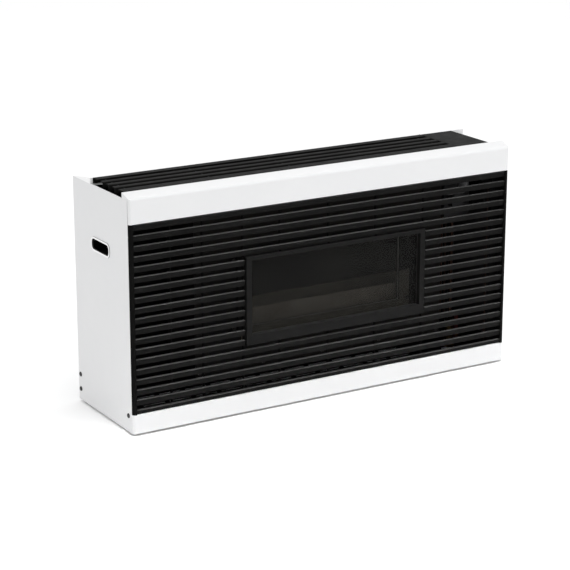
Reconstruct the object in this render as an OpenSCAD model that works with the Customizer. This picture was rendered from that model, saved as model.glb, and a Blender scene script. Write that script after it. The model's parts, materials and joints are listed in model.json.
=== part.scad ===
// Wall mounted room-sealed gas heater.
// X runs left to right seen from the front, the wall is the plane y = 0, the front faces -Y, Z is up.
// The origin is the centre of the four wall fixings. Heights below are measured from the casing's foot.

/* [Casing] */
// Width over the side panels
case_w = 745; // [725:5:900]
// Height of the side panels
case_h = 390; // [385:5:450]
// Depth from the wall to the front
case_d = 205; // [200:5:260]
// Thickness of the casing sheet
sheet_t = 1.2; // [0.8:0.1:1.5]
// Radius of the two upright front corners
corner_r = 6; // [4:0.5:8]
// Height of the band below the louvres
band_h = 32.5; // [28:0.5:38]
// Height of the fascia below the top of the side panels
fascia_h = 39; // [30:1:55]
// Rise of the top grille above the side panels
top_rise = 10; // [9:0.5:14]
// Fall of the fascia's top towards the front
fascia_fall = 7.5; // [5:0.5:8.5]
// Depth of the fascia's top
fascia_top_d = 24; // [20:1:30]
// Radius of the fascia's front bend
fascia_bend_r = 5; // [3:0.5:6]
// Depth of the rear top rail
rail_d = 66; // [60:1:76]
// Reach of the fascia's and rail's inner edges below the top of the side panels
rail_lip = 4; // [3:0.5:8]
// Reach of the rail's rear tab below the top of the side panels
rail_tab = 16; // [14:1:20]
// Depth of the flanges on the casing sheets
flange_d = 12; // [9:1:14]
// Height of the doubled edge along the top of the side panels
hem_h = 8; // [6:1:12]
// Depth of the back panel's side flanges
back_flange_d = 18; // [14:1:24]
// Height of the base tray's side flanges
tray_side_h = 36; // [34:1:50]
// Width of the corner posts
post_w = 18; // [14:1:22]
// Thickness of the corner posts
post_t = 1.5; // [1:0.1:2]
// Length of an air slot in the base tray
vent_l = 42; // [30:1:46]
// Width of an air slot in the base tray
vent_w = 6; // [4:0.5:9]
// Distance between rows of air slots
vent_row = 20; // [16:1:24]
// Distance from one air slot to the next in a row
vent_step = 50; // [48:1:60]
// Distance from the left side to the first air slot
vent_left = 72.5; // [60:0.5:90]
// Distance from the right side to the last air slots
vent_right = 130.5; // [126:0.5:150]
// Distance from the wall to the first row of air slots
vent_back = 34; // [30:1:44]
// Number of rows of air slots
vent_rows = 6; // [3:1:6]

/* [Hand slots] */
// Length of each hand slot
slot_l = 64; // [50:1:90]
// Height of each hand slot
slot_h = 20; // [17:0.5:28]
// Corner radius of each hand slot
slot_r = 8; // [5:0.5:8]
// Distance of the slot's middle from the wall
slot_from_wall = 99; // [80:0.5:120]
// Height of the slot's middle
slot_z = 291; // [250:1:310]
// Width of the rolled lip outside the slot
lip_w = 2.5; // [1.5:0.5:4]
// Height of the rolled lip above the panel
lip_h = 1.2; // [0.8:0.2:2]
// Wall of the lip inside the slot
lip_t = 1; // [0.8:0.1:1.5]
// Reach of the lip behind the panel
lip_back = 1; // [0.5:0.5:5]
// Depth of the finger pocket behind each slot
cup_d = 26; // [20:1:28]
// Room inside the pocket beyond each end of the slot
cup_end = 2; // [1:0.5:4]
// Room inside the pocket above and below the slot
cup_rise = 5; // [1:0.5:8]

/* [Front louvres] */
// Distance from one blade to the next
blade_pitch = 17.2; // [15:0.1:22]
// Depth of a blade
blade_d = 7; // [6:0.5:8]
// Height of a blade's face
blade_h = 9.5; // [8:0.5:13]
// Thickness of a blade
blade_t = 1.6; // [1.2:0.1:2.2]
// Distance of the blades behind the casing's front
blade_set = 1; // [0.5:0.1:2]
// Width of the black stile beside each corner
stile_w = 1.5; // [1:0.1:4]
// Thickness of the upright ribs behind the blades
rib_t = 2; // [1.5:0.1:3]
// Depth of the upright ribs
rib_d = 5; // [4:0.5:8]
// Height of the rails above and below the ribs
grille_rail_h = 3; // [2:0.5:5]
// Distance from the grille's left end to the first rib
side_rib_gap = 68.5; // [50:0.5:80]
// Distance from that rib to the next
side_rib_step = 60; // [40:1:70]
// Place of the middle rib over and under the window
mid_rib_x = 4.5; // [0:0.5:20]
// Distance between the ribs over and under the window
mid_rib_step = 95; // [70:1:105]

/* [Window] */
// Width over the window frame
window_w = 356.5; // [300:0.5:380]
// Height over the window frame
window_h = 152; // [130:1:170]
// Offset of the window to the right of the heater's middle
window_x = 18.25; // [0:0.25:22]
// Height of the window frame's lower edge
window_z = 116; // [110:1:130]
// Width of the window frame at its sides
frame_side = 10.5; // [8:0.5:14]
// Width of the window frame at its top
frame_top = 6.5; // [6.5:0.5:14]
// Width of the window frame at its foot
frame_foot = 17; // [8:0.5:18]
// Depth of the window frame
frame_d = 14.5; // [12:0.5:16]
// Thickness of the window glass
glass_t = 4; // [3:0.5:5]
// Thickness of the window seal
seal_t = 1.5; // [1:0.1:2]
// Distance of the glass clips from the ends of the window frame
clip_from_end = 45; // [30:1:60]
// Overlap of the frame on the glass
glass_lap = 5; // [3:0.5:5.5]
// Gap between the blades and the window frame
window_gap = 2; // [1:0.1:3]

/* [Top grille] */
// Distance from one slot to the next
bar_pitch = 22; // [18:0.5:26]
// Width of a slot
bar_slot = 12; // [9:0.5:14]
// Width of the rearmost bar
bar_rear = 16; // [12:1:20]
// Thickness of the bars
bar_t = 2; // [1.5:0.1:3]
// Depth of the legs under the bars
bar_leg = 8; // [6:0.5:10]
// Distance between the cross ribs under the bars
cross_rib_step = 125; // [90:5:160]
// Gap between the grille's left end and the outside of the casing
grille_gap = 5; // [3:0.5:10]
// Distance from the right side to the flap
end_gap = 29; // [24:1:40]
// Width of the control flap
flap_w = 66.5; // [64:0.5:90]

/* [Control well] */
// Wall of the control well
well_t = 1.5; // [1.2:0.1:2]
// Depth of the well's floor under the grille's top
well_depth = 48; // [44:1:54]
// Drop of the deck beside the flap under the grille's top
deck_drop = 12; // [9:0.5:16]
// Clearance round the flap
flap_clear = 0.3; // [0.2:0.1:0.6]
// Radius of the flap's hinge barrel
barrel_r = 2.5; // [2.3:0.1:3]
// Radius of the flap's hinge pin
pin_r = 1.2; // [0.9:0.1:1.4]
// Radial clearance of turning and sliding fits
run_clear = 0.05; // [0.02:0.01:0.1]
// Length of the ears that hold the hinge pin
ear_l = 6.7; // [5:0.1:10]
// Distance of the knob behind the middle of the well
knob_back = 13.5; // [12:0.5:15]
// Radius of the knob
knob_r = 22; // [18:0.5:24]
// Height of the knob
knob_h = 30; // [26:0.5:32]
// Gap under the knob
knob_gap = 6; // [5:0.1:6.5]
// Travel of the knob when it is pushed in
knob_push = 4; // [2:0.5:4]
// Radius of the dial plate
dial_r = 30; // [26:0.5:30.5]
// Thickness of the dial plate
dial_t = 0.8; // [0.5:0.1:1]
// Distance of the igniter button from the front of the well
button_front = 24; // [20:0.5:26]
// Radius of the igniter button
button_r = 6.5; // [5:0.5:8]
// Height of the igniter button above its bezel
button_rise = 7; // [6:0.5:9]
// Travel of the igniter button
button_travel = 5; // [3:0.5:5]

/* [Gas train] */
// Height of the gas valve's body
valve_h = 76; // [66:1:84]
// Width and depth of the gas valve's body
valve_w = 54; // [48:1:56]
// Radius of the valve driver
driver_r = 6; // [5:0.5:7]
// Radius of the knob's shaft
shaft_r = 3; // [2.5:0.1:3.5]
// Radius of the gas pipes
pipe_r = 4; // [3:0.5:5]
// Height of the burner's axis above the casing's foot
burner_z = 100; // [98:1:106]
// Distance of the burner's axis from the wall
burner_from_wall = 95; // [92:1:96]
// Radius of the burner bar
burner_r = 17; // [14:0.5:18]
// Gap between the burner's closed end and the combustion box
burner_gap = 27; // [20:1:60]
// Gap between the burner's open end and the combustion box
injector_gap = 38; // [30:1:50]
// Height of the gas cock's lever axis
cock_z = 37; // [37:1:50]
// Length of the gas cock's lever
lever_l = 35; // [25:1:38]
// Gap between the combustion box and the gas valve
valve_gap = 30; // [28:1:34]
// Length of the thermostat's phial
phial_l = 66; // [50:1:80]
// Height of the phial above the base tray
phial_rise = 16.4; // [12:0.2:20]
// Distance of the phial behind the front
phial_from_front = 26; // [20:1:34]
// Distance of the phial's end to the right of the valve's axis
phial_end = 26; // [20:1:30]
// Distance of the phial's clips from its ends
phial_clip = 12; // [10:1:16]

/* [Combustion box] */
// Distance of the combustion box from the left side
box_left_gap = 155.75; // [145:0.25:170]
// Distance of the combustion box from the top of the side panels
box_top_gap = 45; // [42:1:60]
// Depth of the combustion box
box_d = 120; // [110:1:122]
// Height of the box's floor above the casing's foot
box_z = 70; // [64:1:71]
// Distance of the box from the wall
box_from_wall = 30; // [28:1:36]
// Sheet thickness of the box
box_t = 1.5; // [1.2:0.1:2]
// Width of the flange round the box's front
box_flange = 12; // [10:0.5:12]
// Width of the opening behind the window
sight_w = 310; // [260:5:316]
// Height of the opening behind the window
sight_h = 118; // [100:1:124]
// Overlap of the inner glass round that opening
sight_lap = 12; // [10:0.5:14]
// Height of the burner shield
shield_h = 87; // [70:1:100]
// Gap between the burner shield's ends and the combustion box
shield_gap = 30; // [20:1:40]
// Depth of the burner shield's foot
shield_foot = 12; // [8:1:14]
// Reach of the pilot burner's bracket
pilot_arm = 20; // [18:1:24]
// Width of the air intake box
intake_w = 220; // [190:5:260]
// Distance of the box brackets from the middle of the box
bracket_step = 160; // [120:5:190]
// Width of a box bracket
bracket_w = 30; // [20:1:40]

/* [Flue] */
// Offset of the flue from the heater's middle
flue_x = 0; // [-10:1:20]
// Distance of the flue's axis below the top of the combustion box
flue_drop = 80; // [76:1:90]
// Width of the flange round the exhaust duct
duct_flange = 10; // [8:1:14]
// Clearance of the back panel round the air spigot
flue_hole_clear = 1.5; // [1:0.1:2]
// Outer radius of the air spigot
air_r = 65; // [55:1:68]
// Outer radius of the exhaust duct
exhaust_r = 40; // [30:1:44]
// Wall of the flue tubes
duct_t = 1; // [0.8:0.1:1.2]
// Reach of the air spigot into the wall
air_reach = 30; // [20:1:60]
// Reach of the exhaust duct into the wall
exhaust_reach = 35; // [20:1:70]

/* [Wall fixings] */
// Distance between the fixings along the wall
fix_w = 560; // [500:5:570]
// Distance between the upper and lower fixings
fix_v = 240; // [200:5:250]
// Height of the fixings' middle above the foot
fix_h = 195; // [185:1:200]
// Radius of the fixing holes
fix_r = 4; // [3:0.5:5]

/* [Screws] */
// Radius of the casing screws' heads
head_r = 4; // [3.5:0.1:4.5]
// Height of the casing screws' heads
head_h = 1.6; // [1.2:0.1:2.4]
// Radius of the screws' shanks
shank_r = 1.9; // [1.5:0.1:2.2]
// Clearance round a shank
shank_clear = 0.2; // [0.1:0.1:0.4]

/* [Hidden] */
$fn = 48;

half_w = case_w / 2;
inner_x = half_w - sheet_t;
front_y = -case_d;
side_y = front_y + corner_r;
deck_z = case_h + top_rise;
fascia_z = case_h - fascia_h;
top_front_y = front_y + fascia_top_d;
seat_clear = 0.3;

// fascia profile
fall_a = atan(fascia_fall / fascia_top_d);
bend_z = deck_z - fascia_fall;
bend_c = [front_y + fascia_bend_r, bend_z - fascia_bend_r / tan(45 + fall_a / 2)];

// louvres
blade_y = front_y + blade_set;
blade_back = blade_y + blade_d;
blade_x = half_w - corner_r - stile_w;
top_blade_z = fascia_z - 1.9;
blade_n = floor((top_blade_z - band_h - 5) / blade_pitch) + 1;
window_x0 = window_x - window_w / 2;
window_x1 = window_x + window_w / 2;
window_z1 = window_z + window_h;
side_rib_xs = [side_rib_gap - blade_x, side_rib_gap + side_rib_step - blade_x,
    window_x0 - rib_t / 2, window_x1 + rib_t / 2];
mid_rib_xs = [mid_rib_x - mid_rib_step, mid_rib_x, mid_rib_x + mid_rib_step];
glass_w = window_w - 2 * frame_side + 2 * glass_lap;
glass_h = window_h - frame_top - frame_foot + 2 * glass_lap;
glass_z = window_z + frame_foot - glass_lap;
glass_back = front_y + frame_d;

// top grille and control well
opening_d = -rail_d - top_front_y;
slot_n = floor((opening_d - bar_rear - 8) / bar_pitch);
flap_x1 = half_w - end_gap;
flap_x0 = flap_x1 - flap_w;
cheek_t = 1.5;
grille_x0 = -half_w + grille_gap;
grille_x1 = flap_x0 - cheek_t;
rib_under = deck_z - bar_t - bar_leg;
well_floor = deck_z - well_depth;
well_top = deck_z - bar_t - flap_clear;
control_x = (flap_x0 + flap_x1) / 2;
control_y = (top_front_y - rail_d) / 2 + knob_back;
hinge_y = -rail_d - barrel_r - 1;
hinge_z = deck_z - barrel_r;
button_y = top_front_y + button_front;
button_wall = 2.5;
bezel_r = button_r + 5.5;
bezel_h = 3;
igniter_end = well_floor - 38;

// gas train
driver_hole_r = driver_r + 3.3;
valve_drop = 14;
valve_top = well_floor - valve_drop;
valve_z = valve_top - valve_h;
burner_y = -burner_from_wall;
box_x0 = -half_w + box_left_gap;
box_x1 = control_x - valve_w / 2 - valve_gap;
box_mid = (box_x0 + box_x1) / 2;
box_w = box_x1 - box_x0;
box_top = case_h - box_top_gap;
flue_z = box_top - flue_drop;
box_y0 = -box_from_wall - box_d;
box_y1 = -box_from_wall;
feed_clear = 1.75;
feed_x = box_x1 + box_flange + pipe_r + feed_clear;
feed_bend = 10;
feed_z = valve_z + 23;
supply_x = control_x + 10;
nut_r = 9.5;
cock_r = 9;

// inner window
gasket_t = 2;
plate_y = box_y0 - gasket_t;
sight_z = window_z + (window_h - sight_h) / 2;
inner_glass_t = 4;
sight_y = plate_y - box_t;

screw_zs = [20, 46];
screw_from_wall = 8;
front_screw_y = side_y + 11;
front_screw_z = 28;
rail_screw_step = 150;
rail_screw_z = case_h - 9;

// ---- shapes ----

// moves a height above the foot to a height from the wall fixings
module hung() { translate([0, 0, -fix_h]) children(); }

module slab(x, y, z) {
    translate([x[0], y[0], z[0]]) cube([x[1] - x[0], y[1] - y[0], z[1] - z[0]]);
}

module rod_x(x, y, z, r) { translate([x[0], y, z]) rotate([0, 90, 0]) cylinder(h = x[1] - x[0], r = r); }
module rod_y(x, y, z, r) { translate([x, y[1], z]) rotate([90, 0, 0]) cylinder(h = y[1] - y[0], r = r); }
module rod_z(x, y, z, r) { translate([x, y, z[0]]) cylinder(h = z[1] - z[0], r = r); }

// a drawing in Y and Z pushed along X
module along_x(x) { translate([x[0], 0, 0]) rotate([90, 0, 90]) linear_extrude(x[1] - x[0]) children(); }

// a drawing in X and Z pushed along Y

module both_sides() { for (s = [0, 1]) mirror([s, 0, 0]) children(); }

function arc(c, r, a0, a1, n = 8) =
    [for (i = [0:n]) c + r * [cos(a0 + (a1 - a0) * i / n), sin(a0 + (a1 - a0) * i / n)]];

// a rectangle with round corners, centred
module round_rect(w, h, r) {
    square([w - 2 * r, h], center = true);
    square([w, h - 2 * r], center = true);
    for (x = [-1, 1], y = [-1, 1]) translate([x * (w / 2 - r), y * (h / 2 - r)]) circle(r);
}

// plan of the casing, drawn in by i, with its two round front corners
module plan(i) {
    w = half_w - i;
    f = front_y + i;
    r = corner_r - i;
    translate([-w, f + r]) square([2 * w, -f - r]);
    translate([r - w, f]) square([2 * (w - r), r + 1]);
    for (s = [-1, 1]) translate([s * (w - r), f + r]) circle(r);
}

// sheet bent round the front, from height z[0] to z[1]
module front_wrap(z) {
    difference() {
        translate([0, 0, z[0]]) linear_extrude(z[1] - z[0]) plan(0);
        translate([0, 0, z[0] - 1]) linear_extrude(z[1] - z[0] + 2) plan(sheet_t);
        slab([-half_w - 1, half_w + 1], [side_y, 1], [z[0] - 1, z[1] + 1]);
    }
}

module hand_slot(x, grow = 0) {
    along_x(x) translate([-slot_from_wall, slot_z])
        round_rect(slot_l + 2 * grow, slot_h + 2 * grow, slot_r + grow);
}

// pipe through a list of points: straight runs with a ball at each turn
module run(points, r) {
    for (i = [0:len(points) - 2]) {
        v = points[i + 1] - points[i];
        translate(points[i]) rotate([0, acos(v[2] / norm(v)), atan2(v[1], v[0])])
            cylinder(h = norm(v), r = r, $fn = 24);
    }
    for (i = [1:1:len(points) - 2]) translate(points[i]) sphere(r, $fn = 24);
}

// quarter bend of a pipe in the X-Z plane, from angle a to a + 90 about c
module bend(c, y, a) {
    translate([c[0], y, c[1]]) rotate([90, 0, 0]) rotate([0, 0, a])
        rotate_extrude(angle = 90) translate([feed_bend, 0]) circle(pipe_r);
}

module side_screw_holes() {
    for (z = screw_zs) rod_x([half_w - 3 * sheet_t, half_w + 1], -screw_from_wall, z, shank_r + shank_clear);
    rod_x([half_w - 3 * sheet_t, half_w + 1], front_screw_y, front_screw_z, shank_r + shank_clear);
}

// ---- casing ----

module side_panel() {
    difference() {
        union() {
            slab([inner_x, half_w], [side_y, 0], [0, case_h]);
            slab([inner_x - sheet_t, inner_x + 0.1], [top_front_y, -rail_d - 2], [case_h - hem_h, case_h]);
            slab([inner_x - flange_d, inner_x + 0.1], [side_y + flange_d, -sheet_t], [0, sheet_t]);
            slab([inner_x - 4.5, inner_x + 0.1], [side_y, side_y + sheet_t], [sheet_t * 3, fascia_z]);
        }
        hand_slot([half_w - 9, half_w + 1]);
        side_screw_holes();
    }
}

module left_side_panel() color("white") hung() mirror([1, 0, 0]) side_panel();
module right_side_panel() color("white") hung() side_panel();

module hand_slot_lips() color("white") hung() both_sides() {
    difference() {
        union() {
            hand_slot([half_w, half_w + lip_h], lip_w);
            hand_slot([inner_x - lip_back, half_w + 0.1]);
        }
        hand_slot([inner_x - lip_back - 1, half_w + lip_h + 1], -lip_t);
    }
}

// closed finger pocket behind each hand slot
module hand_slot_cups() color("black") hung() both_sides() {
    hy = slot_l / 2 + cup_end;
    hz = slot_h / 2 + cup_rise;
    y = [-slot_from_wall - hy, -slot_from_wall + hy];
    z = [slot_z - hz, slot_z + hz];
    x0 = inner_x - cup_d;
    difference() {
        slab([x0, inner_x], y + sheet_t * [-1, 1], z + sheet_t * [-1, 1]);
        slab([x0 + sheet_t, inner_x + 1], y, z);
    }
}

// fascia drawn in by i
module fascia_profile(i) {
    t = bend_c + (fascia_bend_r - i) * [-sin(fall_a), cos(fall_a)];
    polygon(concat([[front_y + i, fascia_z + i]],
        arc(bend_c, fascia_bend_r - i, 180, 90 + fall_a),
        [[top_front_y - i, t[1] + (top_front_y - i - t[0]) * tan(fall_a)], [top_front_y - i, fascia_z + i]]));
}

module fascia_solid(i) {
    intersection() {
        along_x([-half_w, half_w]) fascia_profile(i);
        translate([0, 0, fascia_z - 1]) linear_extrude(deck_z - fascia_z + 2) plan(i);
    }
}

module top_fascia() color("white") hung() {
    wide = [-half_w - 1, half_w + 1];
    difference() {
        fascia_solid(0);
        fascia_solid(sheet_t);
        slab(wide, [front_y + flange_d, top_front_y + 1], [fascia_z - 1, fascia_z + sheet_t + 0.1]);
        slab(wide, [top_front_y - sheet_t - 0.1, top_front_y + 1], [fascia_z - 1, case_h - rail_lip]);
        both_sides() slab([inner_x - 0.01, half_w + 1], [side_y, top_front_y + 1], [fascia_z - 1, case_h]);
    }
}

module bottom_band() color("white") hung() {
    front_wrap([0, band_h]);
    for (z = [0, band_h - sheet_t])
        slab([-half_w + corner_r, half_w - corner_r], [front_y + sheet_t / 2, front_y + flange_d],
            [z, z + sheet_t]);
}

// height of the underside of the rear top rail at depth y
function rail_under(y) = case_h - y / rail_d * top_rise - sheet_t;

module rail_screw_holes() {
    for (x = [-1, 1], k = [1, 2])
        rod_y(x * k * rail_screw_step, [-3 * sheet_t, 1], rail_screw_z, shank_r + shank_clear);
}

module rear_top_rail() color("white") hung() {
    foot = case_h - rail_lip;
    front = sheet_t - rail_d;
    tab = case_h - rail_tab;
    difference() {
        along_x([-inner_x, inner_x]) polygon([[0, rail_under(0)], [0, case_h], [-rail_d, deck_z],
            [-rail_d, foot], [front, foot], [front, rail_under(front)],
            [-2 * sheet_t, rail_under(-2 * sheet_t)], [-2 * sheet_t, tab], [-sheet_t, tab],
            [-sheet_t, rail_under(-sheet_t)]]);
        rail_screw_holes();
    }
    both_sides() along_x([inner_x - 0.1, half_w]) polygon([[0, case_h], [-rail_d, deck_z], [-rail_d, case_h]]);
}

module back_panel() color("silver") hung() {
    difference() {
        union() {
            slab([-inner_x, inner_x], [-sheet_t, 0], [sheet_t, case_h - sheet_t]);
            both_sides() slab([inner_x - sheet_t, inner_x], [-back_flange_d, 0], [2 * sheet_t, case_h - 20]);
        }
        rod_y(flue_x, [-2 * sheet_t, 1], flue_z, air_r + flue_hole_clear);
        for (x = [-1, 1], z = [-1, 1])
            rod_y(x * fix_w / 2, [-2 * sheet_t, 1], fix_h + z * fix_v / 2, fix_r);
        rail_screw_holes();
        both_sides() side_screw_holes();
    }
}

module base_tray() color("silver") hung() {
    difference() {
        union() {
            slab([-inner_x, inner_x], [front_y + sheet_t, -sheet_t], [sheet_t, 2 * sheet_t]);
            both_sides() slab([inner_x - sheet_t, inner_x], [side_y + sheet_t, -back_flange_d - 2],
                [sheet_t, tray_side_h]);
        }
        for (x = [vent_left - half_w:vent_step:half_w - vent_right - vent_l], k = [0:vent_rows - 1]) {
            y = -vent_back - k * vent_row;
            slab([x, x + vent_l], [y - vent_w, y], [0, 3 * sheet_t]);
        }
        rod_z(supply_x, control_y, [0, 3 * sheet_t], nut_r + 4);
        both_sides() side_screw_holes();
        both_sides() slab([inner_x - corner_r, inner_x + 1], [front_y, side_y + sheet_t], [0, 3 * sheet_t]);
    }
}

module corner_posts() color("silver") hung() both_sides() {
    y0 = side_y + sheet_t;
    z = [tray_side_h, fascia_z];
    slab([inner_x - post_w, inner_x - post_t / 2], [y0 + post_w - post_t, y0 + post_w], z);
    slab([inner_x - post_t, inner_x], [y0, y0 + post_w], z);
}

module casing_screws() color("dimgray") hung() both_sides() {
    for (p = [[-screw_from_wall, screw_zs[0]], [-screw_from_wall, screw_zs[1]], [front_screw_y, front_screw_z]]) {
        rod_x([half_w, half_w + head_h], p[0], p[1], head_r);
        rod_x([half_w - 9, half_w + 0.1], p[0], p[1], shank_r);
    }
}

module rail_screws() color("silver") hung() {
    for (x = [-1, 1], k = [1, 2]) {
        rod_y(x * k * rail_screw_step, [-2 * sheet_t - head_h, -2 * sheet_t], rail_screw_z, head_r - 0.5);
        rod_y(x * k * rail_screw_step, [-2 * sheet_t - 0.1, -0.2], rail_screw_z, shank_r);
    }
}

// ---- front grille and window ----

module corner_stiles() color("black") hung() both_sides() {
    intersection() {
        front_wrap([band_h, fascia_z]);
        slab([blade_x, half_w + 1], [front_y - 1, side_y + 1], [band_h, fascia_z]);
    }
    slab([blade_x, blade_x + sheet_t], [front_y + sheet_t / 2, blade_back + rib_d], [band_h, fascia_z]);
}

module grille_rails() color("black") hung() {
    for (z = [band_h, fascia_z - grille_rail_h])
        slab([-blade_x, blade_x], [blade_back, blade_back + rib_d], [z, z + grille_rail_h]);
}

module rib(x, z) { slab([x - rib_t / 2, x + rib_t / 2], [blade_back, blade_back + rib_d], z); }

module grille_ribs() color("black") hung() {
    z = [band_h + grille_rail_h, fascia_z - grille_rail_h];
    for (x = side_rib_xs) rib(x, z);
    for (x = mid_rib_xs) {
        rib(x, [z[0], window_z]);
        rib(x, [window_z1, z[1]]);
    }
}

module blade(x, z) {
    intersection() {
        along_x(x) translate([blade_y, z]) polygon([[0.8, 0], [blade_d, 0], [blade_d, -blade_t],
            [blade_t + 0.8, -blade_t], [blade_t + 2.6, -blade_h], [2.6, -blade_h], [0, -1]]);
        slab([x[0] - 1, x[1] + 1], [front_y - 1, 0], [band_h, fascia_z]);
    }
}

module louvre_blades() color("black") hung() {
    for (i = [0:blade_n - 1]) {
        z = top_blade_z - i * blade_pitch;
        if (z < window_z - 0.5 || z - blade_h > window_z1 + 0.5) blade([-blade_x, blade_x], z);
        else {
            blade([-blade_x, window_x0 - window_gap], z);
            blade([window_x1 + window_gap, blade_x], z);
        }
    }
}

module window_frame() color("black") hung() {
    difference() {
        slab([window_x0, window_x1], [front_y, glass_back], [window_z, window_z1]);
        slab([window_x0 + frame_side, window_x1 - frame_side], [front_y - 1, glass_back + 1],
            [window_z + frame_foot, window_z1 - frame_top]);
        slab([window_x - glass_w / 2 - seat_clear, window_x + glass_w / 2 + seat_clear],
            [glass_back - glass_t - seal_t, glass_back + 1], [glass_z - seat_clear, glass_z + glass_h + seat_clear]);
    }
}

module window_seal() color("dimgray") hung() {
    y = [glass_back - glass_t - seal_t, glass_back - glass_t];
    difference() {
        slab([window_x - glass_w / 2, window_x + glass_w / 2], y, [glass_z, glass_z + glass_h]);
        slab([window_x0 + frame_side, window_x1 - frame_side], [y[0] - 1, y[1] + 1],
            [window_z + frame_foot, window_z1 - frame_top]);
    }
}

module window_glass() color([0.08, 0.08, 0.08, 0.6]) hung() {
    slab([window_x - glass_w / 2, window_x + glass_w / 2], [glass_back - glass_t, glass_back],
        [glass_z, glass_z + glass_h]);
}

module window_clips() color("silver") hung() {
    reach = glass_lap + frame_side / 2;
    for (s = [-1, 1], z = [window_z + clip_from_end, window_z1 - clip_from_end]) {
        x = window_x + s * (window_w / 2 - reach);
        slab([min(x, x + s * reach), max(x, x + s * reach)], [glass_back, glass_back + 1], [z - 7, z + 7]);
        rod_y(window_x + s * (window_w / 2 - 2.6), [glass_back + 1, glass_back + 2.5], z, 2.4);
    }
}

// ---- top grille, flap and controls ----

module bar(y0, y1) {
    slab([grille_x0, grille_x1], [y0, y1], [deck_z - bar_t, deck_z]);
    slab([grille_x0, grille_x1], [y0, y0 + bar_t], [deck_z - bar_t - bar_leg, deck_z - 0.1]);
}

module top_grille() color("black") hung() {
    first = -rail_d - bar_rear;
    slab([grille_x0, grille_x1], [first, -rail_d], [deck_z - bar_t, deck_z]);
    slab([grille_x0, grille_x1], [-rail_d - bar_t, -rail_d], [rib_under, deck_z - 0.1]);
    for (i = [0:slot_n - 1]) {
        y1 = first - bar_slot - i * bar_pitch;
        bar(i == slot_n - 1 ? top_front_y : y1 - bar_pitch + bar_slot, y1);
    }
    ribs = floor((grille_x1 - grille_x0 - 30) / cross_rib_step);
    for (i = [0:ribs]) {
        x = grille_x0 + 15 + i * (grille_x1 - grille_x0 - 30) / ribs;
        slab([x - 1, x + 1], [top_front_y, -rail_d], [rib_under, deck_z - bar_t + 0.1]);
    }
    slab([grille_x1 - 0.1, flap_x0], [top_front_y, -rail_d], [rib_under - 10, deck_z]);
}

module control_well() color("black") hung() {
    y = [top_front_y, -rail_d];
    difference() {
        union() {
            difference() {
                slab([flap_x0, flap_x1], y, [well_floor - 2, well_top]);
                slab([flap_x0 + well_t, flap_x1 - well_t], [y[0] + well_t, y[1] - well_t],
                    [well_floor, well_top + 1]);
            }
            for (x = [flap_x0, flap_x1 - ear_l]) {
                slab([x, x + ear_l], [hinge_y - barrel_r, y[1]], [hinge_z - 7, hinge_z]);
                rod_x([x, x + ear_l], hinge_y, hinge_z, barrel_r);
            }
        }
        slab([flap_x0 + ear_l, flap_x1 - ear_l], [hinge_y - barrel_r, y[1] + 1],
            [hinge_z - barrel_r - seat_clear, deck_z + 1]);
        rod_x([flap_x0 - 1, flap_x1 + 1], hinge_y, hinge_z, pin_r + run_clear);
        rod_z(control_x, control_y, [well_floor - 3, well_floor + 1], driver_hole_r);
        rod_z(control_x, button_y, [well_floor - 3, well_floor + 1], button_r + button_wall + seat_clear);
    }
}

module side_deck() color("black") hung() {
    deck = deck_z - deck_drop;
    slab([flap_x1, inner_x - sheet_t], [top_front_y, -rail_d], [deck - 2, deck]);
}

module flap_hinge_pin() color("silver") hung() rod_x([flap_x0, flap_x1], hinge_y, hinge_z, pin_r);

module control_flap() color("black") hung() {
    x = [flap_x0 + flap_clear, flap_x1];
    lip = 3.5;
    bx = [flap_x0 + ear_l + flap_clear, flap_x1 - ear_l - flap_clear];
    front = top_front_y + flap_clear;
    in = well_t + 1;
    difference() {
        union() {
            slab(x, [front, hinge_y - barrel_r - flap_clear], [deck_z - bar_t, deck_z]);
            slab(bx, [hinge_y - barrel_r - 1, hinge_y], [deck_z - bar_t, deck_z]);
            rod_x(bx, hinge_y, hinge_z, barrel_r);
            slab([x[0] + in, x[1] - in], [top_front_y + in, top_front_y + in + 1.5],
                [deck_z - bar_t - lip, deck_z - bar_t + 0.1]);
        }
        rod_x([bx[0] - 1, bx[1] + 1], hinge_y, hinge_z, pin_r + run_clear);
    }
}

module dial_plate() color("white") hung() {
    difference() {
        rod_z(control_x, control_y, [well_floor, well_floor + dial_t], dial_r);
        rod_z(control_x, control_y, [well_floor - 1, well_floor + dial_t + 1], driver_hole_r);
        rod_z(control_x, button_y, [well_floor - 1, well_floor + dial_t + 1], bezel_r + seat_clear);
    }
}

module control_knob() color("black") hung() {
    z0 = well_floor + knob_gap;
    z1 = z0 + knob_h;
    shaft_z = valve_top + 2;
    difference() {
        union() {
            rod_z(control_x, control_y, [z0, z0 + 5], knob_r);
            rod_z(control_x, control_y, [z0, z1], knob_r - 3);
            slab([control_x - 1, control_x + 1], [control_y - knob_r + 1, control_y], [z0 + 4, z1]);
        }
        for (a = [30:30:330]) translate([control_x, control_y, 0]) rotate([0, 0, a])
            rod_z(0, 3 - knob_r - 2.2, [z0 + 5, z1 + 1], 3);
        rod_z(control_x, control_y, [z0 - 1, z0 + 8 + knob_push], driver_r + 1);
    }
    difference() {
        rod_z(control_x, control_y, [shaft_z, z0 + 13 + knob_push], shaft_r);
        slab([control_x + shaft_r - 1, control_x + 10], [control_y - 10, control_y + 10],
            [shaft_z - 1, z0 + 8 + knob_push]);
    }
}

module valve_driver() color("goldenrod") hung() {
    difference() {
        rod_z(control_x, control_y, [valve_top - 12, well_floor + knob_gap], driver_r);
        difference() {
            rod_z(control_x, control_y, [valve_top - 4, well_floor + knob_gap + 1], shaft_r + run_clear);
            slab([control_x + shaft_r - 1 + 0.1, control_x + 10], [control_y - 10, control_y + 10],
                [valve_top - 5, well_floor + knob_gap + 2]);
        }
    }
}

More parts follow.
